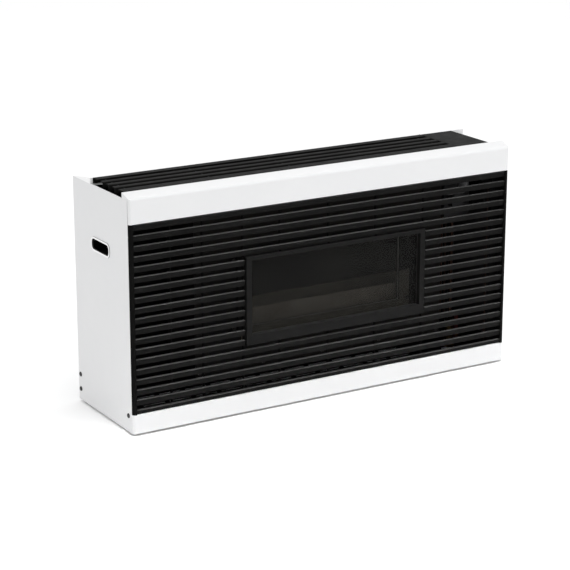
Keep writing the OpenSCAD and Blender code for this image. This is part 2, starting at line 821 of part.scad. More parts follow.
module igniter_button() color("red") hung() {
    rod_z(control_x, button_y, [well_floor - 7, well_floor + bezel_h + button_rise], button_r);
}

module igniter_body() color("dimgray") hung() {
    difference() {
        union() {
            rod_z(control_x, button_y, [well_floor - 34, well_floor + 0.1], button_r + button_wall);
            rod_z(control_x, button_y, [well_floor, well_floor + bezel_h], bezel_r);
            translate([control_x, button_y, well_floor - 8]) cylinder(h = 6, r = bezel_r, $fn = 6);
            rod_z(control_x, button_y, [igniter_end, well_floor - 33.9], 2.5);
        }
        rod_z(control_x, button_y, [well_floor - 7 - button_travel - 1, well_floor + bezel_h + 1],
            button_r + run_clear);
    }
}

// ---- gas train ----

module gas_valve() color("silver") hung() {
    w = valve_w / 2;
    difference() {
        union() {
            slab([control_x - w, control_x + w], [control_y - w, control_y + w], [valve_z, valve_top]);
            rod_z(control_x, control_y, [valve_top - 0.1, valve_top + 10], driver_r + 3);
            rod_y(control_x - 8, [control_y - w - 14, control_y - w + 0.1], valve_z + 30, 13);
            for (x = [-1, 1], z = [12, valve_h - 12])
                rod_y(control_x + x * (w - 7), [control_y - w - 3, control_y - w + 0.1], valve_z + z, 3.5);
        }
        rod_z(control_x, control_y, [valve_top - 12 - seat_clear, valve_top + 11], driver_r + run_clear);
    }
}

module valve_bracket() color("silver") hung() {
    w = valve_w / 2 - 2;
    y1 = control_y + valve_w / 2;
    z = [valve_z + 20, valve_z + 54];
    slab([control_x - w, control_x + w], [y1, y1 + 2], z);
    for (s = [-1, 1]) {
        x = control_x + s * (w - 1);
        slab([x - 1, x + 1], [y1 + 1, -sheet_t], z);
        slab([min(x, x - s * 12), max(x, x - s * 12)], [-sheet_t - 2, -sheet_t], z);
    }
    difference() {
        slab([supply_x - 14, supply_x + 14], [control_y + 1, -sheet_t], [cock_z - 1, cock_z + 1]);
        rod_z(supply_x, control_y, [cock_z - 2, cock_z + 2], cock_r);
    }
    slab([supply_x - 14, supply_x + 14], [-sheet_t - 2, -sheet_t], [cock_z - 1, cock_z + 12]);
}

module gas_cock() color("goldenrod") hung() {
    z0 = cock_z - 29;
    difference() {
        union() {
            rod_z(supply_x, control_y, [z0 + 8, cock_z + 15], cock_r);
            translate([supply_x, control_y, z0]) cylinder(h = 12, r = nut_r + 1, $fn = 6);
            rod_y(supply_x, [control_y - cock_r - 9, control_y], cock_z, 6);
            rod_y(supply_x, [control_y - cock_r - 14, control_y], cock_z, shaft_r);
        }
        rod_z(supply_x, control_y, [z0 - 1, z0 + 12], pipe_r + run_clear);
    }
}

module gas_cock_lever() color("red") hung() {
    y = [control_y - cock_r - 12.5, control_y - cock_r - 9 - seat_clear];
    difference() {
        union() {
            rod_y(supply_x, y, cock_z, 6.5);
            slab([supply_x - 4, supply_x + 4], [y[0], y[1]], [cock_z, cock_z + lever_l]);
        }
        rod_y(supply_x, [y[0] - 1, y[1] + 1], cock_z, shaft_r + run_clear);
    }
}

module supply_pipe() color("peru") hung() {
    z0 = cock_z + 15;
    rod_z(supply_x, control_y, [z0, valve_z], pipe_r);
    translate([supply_x, control_y, z0]) cylinder(h = 10, r = nut_r, $fn = 6);
    translate([supply_x, control_y, valve_z - 10]) cylinder(h = 10, r = nut_r, $fn = 6);
}

module burner_feed_pipe() color("peru") hung() {
    top = feed_z - feed_bend;
    foot = burner_z + feed_bend;
    valve_x = control_x - valve_w / 2;
    rod_z(feed_x, burner_y, [foot, top], pipe_r);
    bend([feed_x + feed_bend, top], burner_y, 90);
    bend([feed_x - feed_bend, foot], burner_y, 270);
    rod_x([feed_x + feed_bend - 0.1, valve_x], burner_y, feed_z, pipe_r);
}

module injector() color("goldenrod") hung() {
    outer = feed_x - feed_bend;
    difference() {
        union() {
            translate([box_x1, burner_y, burner_z]) rotate([0, 90, 0]) cylinder(h = outer - box_x1, r = 9, $fn = 6);
            rod_x([box_x1 - 22, box_x1 + 0.1], burner_y, burner_z, 6);
        }
        rod_x([box_x1 - 23, outer - 2], burner_y, burner_z, 1);
    }
}

module burner_bar() color("silver") hung() {
    x1 = box_x1 - injector_gap;
    x0 = box_x0 + burner_gap;
    port = 1.6;
    difference() {
        union() {
            rod_x([x0, x1], burner_y, burner_z, burner_r);
            for (x = [x0 + 40, x1 - 40])
                slab([x - 5, x + 5], [burner_y - 12, burner_y + 12], [box_z + box_t, burner_z]);
            slab([x0 + 10, x1 - 45], [burner_y - 9, burner_y + 9], [burner_z, burner_z + burner_r + 4]);
        }
        rod_x([x0 + 1.5, x1 + 1], burner_y, burner_z, burner_r - 1.5);
        for (x = [x0 + 20:8:x1 - 55])
            slab([x, x + port], [burner_y - 7, burner_y + 7], [burner_z, burner_z + burner_r + 5]);
    }
}

pilot_x = box_x1 - 75;
pilot_y = burner_y - burner_r - 10;
plate_z = burner_z - 4;
lead_zs = [box_z + 8, box_z + 13, box_z + 18];
couple_r = 2.5;
insulator_r = 3.5;
spark_x = pilot_x + 13;
couple_x = pilot_x - 11;

module pilot_burner() color("silver") hung() {
    difference() {
        union() {
            rod_z(pilot_x, pilot_y, [lead_zs[1] + 5, burner_z + 14], 5);
            slab([pilot_x - 17, pilot_x + pilot_arm], [pilot_y - 7, pilot_y + 7], [plate_z - 2, plate_z]);
            slab([pilot_x + pilot_arm - 2, pilot_x + pilot_arm], [pilot_y - 7, pilot_y + 7],
                [box_z + box_t, plate_z]);
        }
        rod_z(pilot_x, pilot_y, [burner_z + 4, burner_z + 15], 3.5);
        rod_z(couple_x, pilot_y, [plate_z - 3, plate_z + 1], couple_r);
        rod_z(spark_x, pilot_y, [plate_z - 3, plate_z + 1], insulator_r);
        slab([pilot_x + pilot_arm - 3, pilot_x + pilot_arm + 1], [pilot_y - 4, pilot_y + 4],
            [box_z, lead_zs[2] + 4]);
    }
}

// the leads leave the box through its side plate and climb to the valve
module pilot_pipe() color("peru") hung() {
    x = control_x - valve_w / 2 + 7;
    run([[pilot_x, pilot_y, lead_zs[1] + 5], [pilot_x, pilot_y, lead_zs[1]], [x, pilot_y, lead_zs[1]],
        [x, pilot_y, valve_z]], 1.8);
}

module thermocouple() color("peru") hung() {
    x = control_x - valve_w / 2 + 15;
    rod_z(couple_x, pilot_y, [plate_z - 6, burner_z + 18], couple_r);
    run([[couple_x, pilot_y, plate_z - 5], [couple_x, pilot_y, lead_zs[0]], [x, pilot_y, lead_zs[0]],
        [x, pilot_y, valve_z]], 1.2);
}

module spark_electrode() color("ivory") hung() {
    tip = burner_z + 18;
    rod_z(spark_x, pilot_y, [plate_z - 4, burner_z + 8], insulator_r);
    run([[spark_x, pilot_y, burner_z + 7], [spark_x, pilot_y, tip], [pilot_x + 4, pilot_y, tip]], 1);
}

module igniter_lead() color("white") hung() {
    x = feed_x + 6;
    z = igniter_end - 5;
    run([[spark_x, pilot_y, plate_z - 4], [spark_x, pilot_y, lead_zs[2]], [x, pilot_y, lead_zs[2]],
        [x, pilot_y, z], [x, button_y, z], [control_x, button_y, z], [control_x, button_y, igniter_end]],
        2);
}

module box_side_plate() color("silver") hung() {
    x = [box_x1 - 1, box_x1 + 2];
    difference() {
        slab([box_x1, box_x1 + 1], [pilot_y - 12, pilot_y + 12], [lead_zs[0] - 6, lead_zs[2] + 7]);
        rod_x(x, pilot_y, lead_zs[0], 1.2);
        rod_x(x, pilot_y, lead_zs[1], 1.8);
        rod_x(x, pilot_y, lead_zs[2], 2);
    }
}

module thermostat_phial() color("peru") hung() {
    z = 2 * sheet_t + phial_rise;
    y = front_y + phial_from_front;
    x = [control_x + phial_end - phial_l, control_x + phial_end];
    rise_x = inner_x - post_w - 6;
    rod_x(x, y, z, pipe_r);
    run([[x[1] - 1, y, z], [rise_x, y, z], [rise_x, y, valve_z + 60], [rise_x, control_y - 8, valve_z + 60],
        [control_x + valve_w / 2, control_y - 8, valve_z + 60]], 1);
}

module phial_clips() color("silver") hung() {
    z = 2 * sheet_t + phial_rise;
    y = front_y + phial_from_front;
    x1 = control_x + phial_end - phial_clip;
    for (x = [x1 - phial_l + 2 * phial_clip, x1]) difference() {
        slab([x - 3, x + 3], [y - pipe_r - 2, y + pipe_r + 2], [2 * sheet_t, z]);
        rod_x([x - 4, x + 4], y, z, pipe_r);
    }
}

// ---- combustion box and flue ----

module combustion_box() color("gray") hung() {
    x = [box_x0, box_x1];
    y = [box_y0, box_y1];
    z = [box_z, box_top];
    difference() {
        union() {
            slab(x, y, z);
            slab([x[0] - box_flange, x[1] + box_flange], [y[0], y[0] + box_t], [z[0] - box_flange, z[1] + box_flange]);
        }
        slab([x[0] + box_t, x[1] - box_t], [y[0] - 1, y[1] - box_t], [z[0] + box_t, z[1] - box_t]);
        rod_y(flue_x, [y[1] - 2 * box_t, y[1] + 1], flue_z, exhaust_r - duct_t);
        slab([flue_x - 90, flue_x + 90], [y[1] - 2 * box_t, y[1] + 1], [z[0] + 8, z[0] + 30]);
        rod_x([x[1] - 2 * box_t, x[1] + 1], burner_y, burner_z, 6 + seat_clear);
        slab([x[1] - 2 * box_t, x[1] + 1], [pilot_y - 5, pilot_y + 5], [lead_zs[0] - 3, lead_zs[2] + 4]);
    }
}

// a flat ring round the inner window or the box's front
module ring(x, z, y, wall) {
    difference() {
        slab(x, y, z);
        slab([x[0] + wall, x[1] - wall], [y[0] - 1, y[1] + 1], [z[0] + wall, z[1] - wall]);
    }
}

module box_gasket() color("lightgray") hung()
    ring([box_x0 - box_flange, box_x1 + box_flange], [box_z - box_flange, box_top + box_flange],
        [plate_y, box_y0], box_flange);

sight_x = [window_x - sight_w / 2, window_x + sight_w / 2];

module box_front_plate() color("gray") hung() {
    difference() {
        slab([box_x0 - box_flange, box_x1 + box_flange], [sight_y, plate_y],
            [box_z - box_flange, box_top + box_flange]);
        slab(sight_x, [sight_y - 1, plate_y + 1], [sight_z, sight_z + sight_h]);
    }
}

module burner_shield() color("saddlebrown") hung() {
    y = box_y0 + 8;
    x = [box_x0 + shield_gap, box_x1 - shield_gap];
    slab(x, [y, y + sheet_t], [box_z + box_t, box_z + box_t + shield_h]);
    slab(x, [y, y + shield_foot], [box_z + box_t, box_z + box_t + sheet_t]);
}

module inner_glass_gasket() color("lightgray") hung()
    ring([sight_x[0] - sight_lap, sight_x[1] + sight_lap], [sight_z - sight_lap, sight_z + sight_h + sight_lap],
        [sight_y - 1, sight_y], sight_lap);

module inner_glass() color([0.7, 0.65, 0.6, 0.4]) hung()
    slab([sight_x[0] - sight_lap, sight_x[1] + sight_lap], [sight_y - 1 - inner_glass_t, sight_y - 1],
        [sight_z - sight_lap, sight_z + sight_h + sight_lap]);

// clamps the inner glass: a front rim and a skirt that reaches the box's front plate
module inner_glass_frame() color("gray") hung() {
    rim = sight_lap + 2;
    x = [sight_x[0] - rim, sight_x[1] + rim];
    z = [sight_z - rim, sight_z + sight_h + rim];
    y = sight_y - 1 - inner_glass_t;
    ring(x, z, [y - box_t, y], rim);
    ring(x, z, [y - box_t + 0.1, sight_y], box_t);
    ring([x[0] - 11, x[1] + 11], [z[0] - 11, z[1] + 11], [sight_y - box_t, sight_y], 11.2);
}

module hex_screw(x, z, y) {
    translate([x, y, z]) rotate([90, 0, 0]) cylinder(h = 3, r = 3.5, $fn = 6);
}

module box_screws() color("silver") hung() {
    edge = box_flange / 2;
    for (x = [box_x0 - edge, box_mid - box_w / 4, box_mid, box_mid + box_w / 4, box_x1 + edge],
        z = [box_z - edge, box_top + edge]) hex_screw(x, z, sight_y);
    for (x = [sight_x[0] - sight_lap - 8, sight_x[1] + sight_lap + 8], z = [sight_z, sight_z + sight_h])
        hex_screw(x, z, sight_y - box_t);
}

module box_brackets() color("silver") hung() {
    w = bracket_w / 2;
    for (x = [box_mid - bracket_step, box_mid + bracket_step]) {
        slab([x - w, x + w], [box_y0 + 10, -sheet_t], [box_z - 2, box_z]);
        slab([x - w, x + w], [-sheet_t - 2, -sheet_t], [box_z - 30, box_z - 1]);
        slab([x - 1, x + 1], [box_y1 - 20, -sheet_t], [box_z - 20, box_z - 1]);
    }
}

module air_deflector() color("silver") hung() {
    t = 0.8;
    z0 = box_top + 5;
    front = sheet_t - rail_d;
    z1 = case_h - 1;
    along_x([box_x0, box_x1]) polygon([[-sheet_t, z0 - 10], [-sheet_t - t, z0 - 10], [-sheet_t - t, z0],
        [front, z1 - t], [front, z1], [-sheet_t, z0 + t]]);
}

module air_intake_box() color("silver") hung() {
    x = [flue_x - intake_w / 2, flue_x + intake_w / 2];
    z = [box_z + 3, box_top - 5];
    difference() {
        slab(x, [box_y1, -sheet_t], z);
        slab([x[0] + sheet_t, x[1] - sheet_t], [box_y1 - 1, 0], [z[0] + sheet_t, z[1] - sheet_t]);
    }
}

module flue_air_spigot() color("silver") hung() {
    difference() {
        union() {
            rod_y(flue_x, [-sheet_t - 1.5, air_reach], flue_z, air_r);
            rod_y(flue_x, [-sheet_t - 1.5, -sheet_t], flue_z, air_r + 6);
        }
        rod_y(flue_x, [-sheet_t - 3, air_reach + 1], flue_z, air_r - duct_t);
    }
}

module flue_exhaust_duct() color("silver") hung() {
    y0 = box_y1 + 1.5;
    difference() {
        union() {
            rod_y(flue_x, [y0, exhaust_reach], flue_z, exhaust_r);
            rod_y(flue_x, [y0, y0 + 1.5], flue_z, exhaust_r + duct_flange);
        }
        rod_y(flue_x, [y0 - 1, exhaust_reach + 1], flue_z, exhaust_r - duct_t);
    }
}

module flue_gasket() color("lightgray") hung() {
    difference() {
        rod_y(flue_x, [box_y1, box_y1 + 1.5], flue_z, exhaust_r + duct_flange);
        rod_y(flue_x, [box_y1 - 1, box_y1 + 3], flue_z, exhaust_r - duct_t);
    }
}

left_side_panel();
right_side_panel();
hand_slot_lips();
hand_slot_cups();
top_fascia();
bottom_band();
rear_top_rail();
back_panel();
base_tray();
corner_posts();
corner_stiles();
grille_rails();
grille_ribs();
louvre_blades();
window_frame();
window_seal();
window_glass();
window_clips();
top_grille();
control_well();
side_deck();
flap_hinge_pin();
control_flap();
dial_plate();
control_knob();
valve_driver();
igniter_button();
igniter_body();
igniter_lead();
spark_electrode();
gas_valve();
valve_bracket();
gas_cock();
gas_cock_lever();
supply_pipe();
burner_feed_pipe();
injector();
burner_bar();
pilot_burner();
pilot_pipe();
thermocouple();
thermostat_phial();
phial_clips();
combustion_box();
box_gasket();
box_front_plate();
box_side_plate();
burner_shield();
inner_glass();
inner_glass_gasket();
inner_glass_frame();
box_brackets();
air_deflector();
air_intake_box();
flue_air_spigot();
flue_exhaust_duct();
flue_gasket();
casing_screws();
rail_screws();
box_screws();
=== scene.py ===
import json
import math
import bpy
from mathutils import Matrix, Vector


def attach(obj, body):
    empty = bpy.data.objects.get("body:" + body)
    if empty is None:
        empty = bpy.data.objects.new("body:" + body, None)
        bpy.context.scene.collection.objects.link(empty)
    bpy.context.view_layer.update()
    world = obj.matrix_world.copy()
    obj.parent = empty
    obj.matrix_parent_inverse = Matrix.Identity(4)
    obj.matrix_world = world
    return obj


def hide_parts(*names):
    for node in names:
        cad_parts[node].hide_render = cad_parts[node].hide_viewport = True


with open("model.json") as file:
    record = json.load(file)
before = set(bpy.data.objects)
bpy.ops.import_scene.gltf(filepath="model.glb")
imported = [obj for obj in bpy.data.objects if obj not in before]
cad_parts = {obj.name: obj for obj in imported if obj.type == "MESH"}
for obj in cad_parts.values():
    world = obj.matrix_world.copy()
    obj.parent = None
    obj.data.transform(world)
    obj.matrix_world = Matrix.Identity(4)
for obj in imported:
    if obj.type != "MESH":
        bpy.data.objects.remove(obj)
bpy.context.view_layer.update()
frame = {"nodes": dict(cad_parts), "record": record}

# Sizes in the dictionaries are millimetres: x from the middle of the casing, y from the wall,
# z from the foot of the casing. The scene itself is in metres from the wall fixings.
fixHeight = 195.0

print("camera, lights and floor")
view = {"place": (-1.7039, -2.9042, 0.9491), "lens": 124.6, "down": 16.53, "turn": -30.93}
bpy.ops.object.camera_add(location=view["place"],
                          rotation=(math.radians(90 - view["down"]), 0, math.radians(view["turn"])))
camera = bpy.context.object
camera.data.lens = view["lens"]
camera.data.sensor_width = 36
scene = bpy.context.scene
scene.camera = camera
scene.view_settings.view_transform = "Standard"
scene.view_settings.look = "None"

studio = {"sky": 1.04, "floorColour": (0.95, 0.95, 0.95, 1), "floorSize": 14, "footGap": 0.004}
softboxes = {
    "keyLight": {"place": (1.5, -2.6, 0.9), "size": (2.2, 2.2), "power": 11.5},
    "topLight": {"place": (0.2, -0.4, 2.6), "size": (2.4, 2.4), "power": 20.5},
    "floorWash": {"place": (0.0, -0.62, 1.6), "size": (1.0, 0.12), "power": 0.75,
                  "aim": (0.0, -0.31, -0.195), "beam": 14},
}


def addSoftbox(name, place, size, power, aim=(0, -0.1, 0), beam=180):
    bpy.ops.object.light_add(type="AREA", location=place)
    lamp = bpy.context.object
    lamp.name = name
    lamp.data.shape = "RECTANGLE"
    lamp.data.size, lamp.data.size_y = size
    lamp.data.energy = power
    lamp.data.spread = math.radians(beam)
    lamp.rotation_euler = (Vector(aim) - Vector(place)).to_track_quat("-Z", "Y").to_euler()


for name, softbox in softboxes.items():
    addSoftbox(name, **softbox)
scene.world = bpy.data.worlds.new("studioSky")
scene.world.use_nodes = True
sky = scene.world.node_tree.nodes["Background"]
sky.inputs["Color"].default_value = (1, 1, 1, 1)
sky.inputs["Strength"].default_value = studio["sky"]


def addNode(tree, kind, **values):
    node = tree.nodes.new("ShaderNode" + kind)
    for key, value in values.items():
        if hasattr(node, key):
            setattr(node, key, value)
        else:
            node.inputs[key.replace("_", " ")].default_value = value
    return node


def feed(tree, value, socket):
    # a link from another node, or a plain value
    if isinstance(value, bpy.types.NodeSocket):
        tree.links.new(value, socket)
    else:
        socket.default_value = value


def mixColours(tree, factor, first, second, blend="MIX"):
    node = addNode(tree, "Mix", data_type="RGBA", blend_type=blend)
    feed(tree, factor, node.inputs[0])
    feed(tree, first, node.inputs[6])
    feed(tree, second, node.inputs[7])
    return node.outputs[2]


def spread(tree, value, low, high, fromLow=0.3, fromHigh=0.7):
    node = addNode(tree, "MapRange", From_Min=fromLow, From_Max=fromHigh, clamp=True)
    tree.links.new(value, node.inputs["Value"])
    feed(tree, low, node.inputs["To Min"])
    feed(tree, high, node.inputs["To Max"])
    return node.outputs["Result"]


def calculate(tree, operation, first, second):
    node = addNode(tree, "Math", operation=operation)
    feed(tree, first, node.inputs[0])
    feed(tree, second, node.inputs[1])
    return node.outputs[0]


def noise(tree, vector, scale, detail=2.0, rough=0.5):
    node = addNode(tree, "TexNoise", Detail=detail, Roughness=rough)
    tree.links.new(vector, node.inputs["Vector"])
    feed(tree, scale, node.inputs["Scale"])
    return node.outputs["Fac"]


def bump(tree, height, strength, distance):
    node = addNode(tree, "Bump", Distance=distance)
    tree.links.new(height, node.inputs["Height"])
    feed(tree, strength, node.inputs["Strength"])
    return node.outputs["Normal"]


def newGroup(name, inputs, outputs):
    group = bpy.data.node_groups.new(name, "ShaderNodeTree")
    for title, value in inputs.items():
        kind = "NodeSocketColor" if isinstance(value, tuple) else "NodeSocketFloat"
        socket = group.interface.new_socket(name=title, in_out="INPUT", socket_type=kind)
        socket.default_value = value
    for title, kind in outputs.items():
        group.interface.new_socket(name=title, in_out="OUTPUT", socket_type="NodeSocket" + kind)
    return group, group.nodes.new("NodeGroupInput").outputs, group.nodes.new("NodeGroupOutput").inputs


def objectPlace(tree):
    return addNode(tree, "TexCoord").outputs["Object"]


print("shared surface effects")
skinOutputs = {"Color": "Color", "Roughness": "Float", "Normal": "Vector"}

# sprayed or moulded skin: clouds in the colour, a changing gloss and a fine grain
grainSkin, given, result = newGroup("grainSkin", {
    "Colour": (0.8, 0.8, 0.8, 1), "Cloud Colour": (0.7, 0.7, 0.7, 1), "Cloud Size": 6.0,
    "Cloud Amount": 0.5, "Gloss Low": 0.35, "Gloss High": 0.45, "Grain Size": 900.0,
    "Grain Depth": 0.2}, skinOutputs)
place = objectPlace(grainSkin)
clouds = noise(grainSkin, place, given["Cloud Size"], 4, 0.6)
patches = calculate(grainSkin, "MULTIPLY", spread(grainSkin, clouds, 0, 1), given["Cloud Amount"])
grainSkin.links.new(mixColours(grainSkin, patches, given["Colour"], given["Cloud Colour"]), result["Color"])
wear = noise(grainSkin, place, 55, 3)
grainSkin.links.new(spread(grainSkin, wear, given["Gloss Low"], given["Gloss High"]), result["Roughness"])
grain = noise(grainSkin, place, given["Grain Size"], 2, 0.6)
grainSkin.links.new(bump(grainSkin, grain, given["Grain Depth"], 0.0003), result["Normal"])

# bare metal: fine drawing lines along one direction, stains and a soft tarnish
drawnMetal, given, result = newGroup("drawnMetal", {
    "Colour": (0.6, 0.6, 0.6, 1), "Stain Colour": (0.4, 0.4, 0.4, 1), "Stain Amount": 0.4,
    "Gloss Low": 0.25, "Gloss High": 0.45, "Line Size": 60.0, "Line Depth": 0.15}, skinOutputs)
place = objectPlace(drawnMetal)
stretch = addNode(drawnMetal, "Mapping", Scale=(0.25, 9, 9))
drawnMetal.links.new(place, stretch.inputs["Vector"])
lines = noise(drawnMetal, stretch.outputs["Vector"], given["Line Size"], 3, 0.6)
stains = noise(drawnMetal, place, 14, 4, 0.65)
stained = spread(drawnMetal, stains, 0, 1, 0.4, 0.72)
patches = calculate(drawnMetal, "MULTIPLY", stained, given["Stain Amount"])
drawnMetal.links.new(mixColours(drawnMetal, patches, given["Colour"], given["Stain Colour"]), result["Color"])
drawnMetal.links.new(spread(drawnMetal, lines, given["Gloss Low"], given["Gloss High"]), result["Roughness"])
drawnMetal.links.new(bump(drawnMetal, lines, given["Line Depth"], 0.0002), result["Normal"])

# zinc crystals on galvanised sheet
zincSpangle, given, result = newGroup("zincSpangle", {
    "Dark Colour": (0.42, 0.43, 0.45, 1), "Light Colour": (0.64, 0.65, 0.67, 1), "Crystal Size": 95.0,
    "Gloss Low": 0.32, "Gloss High": 0.52}, skinOutputs)
place = objectPlace(zincSpangle)
warp = addNode(zincSpangle, "TexNoise", Scale=70.0, Detail=2.0)
zincSpangle.links.new(place, warp.inputs["Vector"])
bent = addNode(zincSpangle, "MixRGB", Fac=0.02)
zincSpangle.links.new(place, bent.inputs["Color1"])
zincSpangle.links.new(warp.outputs["Color"], bent.inputs["Color2"])
crystals = addNode(zincSpangle, "TexVoronoi", feature="F1")
zincSpangle.links.new(bent.outputs["Color"], crystals.inputs["Vector"])
zincSpangle.links.new(given["Crystal Size"], crystals.inputs["Scale"])
tone = addNode(zincSpangle, "SeparateColor")
zincSpangle.links.new(crystals.outputs["Color"], tone.inputs["Color"])
shade = mixColours(zincSpangle, tone.outputs["Red"], given["Dark Colour"], given["Light Colour"])
zincSpangle.links.new(shade, result["Color"])
gloss = spread(zincSpangle, tone.outputs["Green"], given["Gloss Low"], given["Gloss High"], 0, 1)
zincSpangle.links.new(gloss, result["Roughness"])
zincSpangle.links.new(bump(zincSpangle, noise(zincSpangle, place, 420, 3), 0.12, 0.0002), result["Normal"])

# dust settled on surfaces that face up, together with painted light: faces that look up are made lighter,
# which on the louvre blades paints their highlight lines
dustAndTopLight, given, result = newGroup("dustAndTopLight", {
    "Colour": (0.5, 0.5, 0.5, 1), "Dust And Highlight Colour": (0.42, 0.42, 0.415, 1), "Amount": 0.3}, {"Color": "Color"})
facing = addNode(dustAndTopLight, "NewGeometry")
parts = addNode(dustAndTopLight, "SeparateXYZ")
dustAndTopLight.links.new(facing.outputs["Normal"], parts.inputs["Vector"])
up = spread(dustAndTopLight, parts.outputs["Z"], 0, 1, 0.5, 1)
flecks = noise(dustAndTopLight, objectPlace(dustAndTopLight), 420, 4, 0.65)
specks = spread(dustAndTopLight, flecks, 0.62, 0.92, 0.35, 0.65)
dustAndHighlightMask = calculate(dustAndTopLight, "MULTIPLY", calculate(dustAndTopLight, "MULTIPLY", up, specks), given["Amount"])
dustAndTopLight.links.new(mixColours(dustAndTopLight, dustAndHighlightMask, given["Colour"], given["Dust And Highlight Colour"]), result["Color"])

# steel painted a lighter brown below a height, only inside the fire box: heat browning, and with it a painted
# light and shade boundary with a sharp edge
heatAndLightZone, given, result = newGroup("heatAndLightZone", {
    "Colour": (0.5, 0.5, 0.5, 1), "Brown Colour": (0.4, 0.34, 0.26, 1), "Height": 0.0, "Middle": 0.01825,
    "Half Width": 0.2345, "Back": -0.031, "Floor": -0.1245}, {"Color": "Color"})
place = objectPlace(heatAndLightZone)
corner = addNode(heatAndLightZone, "SeparateXYZ")
heatAndLightZone.links.new(place, corner.inputs["Vector"])
ripple = spread(heatAndLightZone, noise(heatAndLightZone, place, 9, 3), -0.002, 0.002)
level = calculate(heatAndLightZone, "ADD", corner.outputs["Z"], ripple)
level = calculate(heatAndLightZone, "SUBTRACT", level, given["Height"])
brownAndLit = spread(heatAndLightZone, level, 1, 0, -0.0015, 0.0015)
sideways = calculate(heatAndLightZone, "SUBTRACT", corner.outputs["X"], given["Middle"])
sideways = calculate(heatAndLightZone, "ABSOLUTE", sideways, 0)
limits = (("LESS_THAN", sideways, "Half Width"), ("LESS_THAN", corner.outputs["Y"], "Back"),
          ("GREATER_THAN", corner.outputs["Z"], "Floor"))
for test, value, limit in limits:
    within = calculate(heatAndLightZone, test, value, given[limit])
    brownAndLit = calculate(heatAndLightZone, "MULTIPLY", brownAndLit, within)
heatAndLightZone.links.new(mixColours(heatAndLightZone, brownAndLit, given["Colour"], given["Brown Colour"]), result["Color"])

# painted shade inside the casing, near-black on its inner faces: 1 on faces inside it, 0 on its outside
paintedShadeMask, given, result = newGroup("paintedShadeMask", {
    "Half Width": 0.3719, "Back": -0.0007, "Floor": -0.1932, "Roof": 0.1942}, {"Inside": "Float"})
corner = addNode(paintedShadeMask, "SeparateXYZ")
paintedShadeMask.links.new(objectPlace(paintedShadeMask), corner.inputs["Vector"])
sideways = calculate(paintedShadeMask, "ABSOLUTE", corner.outputs["X"], 0)
inside = calculate(paintedShadeMask, "LESS_THAN", sideways, given["Half Width"])
limits = (("LESS_THAN", "Y", "Back"), ("GREATER_THAN", "Z", "Floor"), ("LESS_THAN", "Z", "Roof"))
for test, axis, limit in limits:
    within = calculate(paintedShadeMask, test, corner.outputs[axis], given[limit])
    inside = calculate(paintedShadeMask, "MULTIPLY", inside, within)
paintedShadeMask.links.new(inside, result["Inside"])


def useGroup(tree, group, values):
    node = tree.nodes.new("ShaderNodeGroup")
    node.node_tree = group
    for title, value in values.items():
        node.inputs[title].default_value = value
    return node


def startMaterial(name, plain):
    material = bpy.data.materials.new(name)
    material.use_nodes = True
    surface = material.node_tree.nodes["Principled BSDF"].inputs
    for title, value in plain.items():
        surface[title.replace("_", " ")].default_value = value
    return material, material.node_tree, surface


def newMaterial(name, group, values, dustAndHighlight=0.0, zone=None, **plain):
    material, tree, surface = startMaterial(name, plain)
    skin = useGroup(tree, group, values)
    colour = skin.outputs["Color"]
    # dust, with painted light: faces that look up are made lighter
    if dustAndHighlight:
        layer = useGroup(tree, dustAndTopLight, {"Amount": dustAndHighlight})
        tree.links.new(colour, layer.inputs["Colour"])
        colour = layer.outputs["Color"]
    if zone:
        layer = useGroup(tree, heatAndLightZone, zone)
        tree.links.new(colour, layer.inputs["Colour"])
        colour = layer.outputs["Color"]
    tree.links.new(colour, surface["Base Color"])
    tree.links.new(skin.outputs["Roughness"], surface["Roughness"])
    tree.links.new(skin.outputs["Normal"], surface["Normal"])
    return material


def lineInside(material, limits=None):
    # the same finish, with painted shade: matt near-black on its faces inside the casing
    tree = material.node_tree
    surface = tree.nodes["Principled BSDF"].inputs
    inside = useGroup(tree, paintedShadeMask, limits or {}).outputs["Inside"]
    fleck = noise(tree, objectPlace(tree), 120, 3)
    # painted shade colour for the inner faces
    paintedShade = mixColours(tree, fleck, (0.0055, 0.0055, 0.0055, 1), (0.008, 0.008, 0.0078, 1))
    colour = surface["Base Color"].links[0].from_socket
    tree.links.new(mixColours(tree, inside, colour, paintedShade), surface["Base Color"])
    gloss = surface["Roughness"].links[0].from_socket
    matt = calculate(tree, "MULTIPLY", inside, 0.8)
    tree.links.new(calculate(tree, "MAXIMUM", gloss, matt), surface["Roughness"])
    return material


print("materials")
finishes = {}
whiteCoat = {
    "Colour": (0.650, 0.652, 0.656, 1), "Cloud Colour": (0.634, 0.638, 0.645, 1), "Cloud Size": 5.0,
    "Cloud Amount": 0.7, "Gloss Low": 0.36, "Gloss High": 0.46, "Grain Size": 1100.0, "Grain Depth": 0.16}
# painted light: a lighter copy of the same white powder coat, for the slot lips and the rear rail
paintedLightCoat = {
    "Colour": (0.80, 0.80, 0.80, 1), "Cloud Colour": (0.785, 0.788, 0.792, 1), "Cloud Size": 5.0,
    "Cloud Amount": 0.7, "Gloss Low": 0.3, "Gloss High": 0.4, "Grain Size": 1100.0, "Grain Depth": 0.1}
finishes["white_sheet"] = newMaterial("whitePowderCoat", grainSkin, whiteCoat, Specular_IOR_Level=0.45)
# the white powder coat with painted shade on its inner faces
finishes["shade_painted_white_sheet"] = lineInside(
    newMaterial("shadePaintedPowderCoat", grainSkin, whiteCoat, Specular_IOR_Level=0.45))
finishes["painted_light_white"] = newMaterial("paintedLightPowderCoat", grainSkin, paintedLightCoat)
# slot lips: the lighter, painted light white, with painted shade on their inner faces
finishes["shade_and_light_painted_lip"] = lineInside(
    newMaterial("shadeAndLightPaintedLipCoat", grainSkin, paintedLightCoat), {"Half Width": 0.3732})
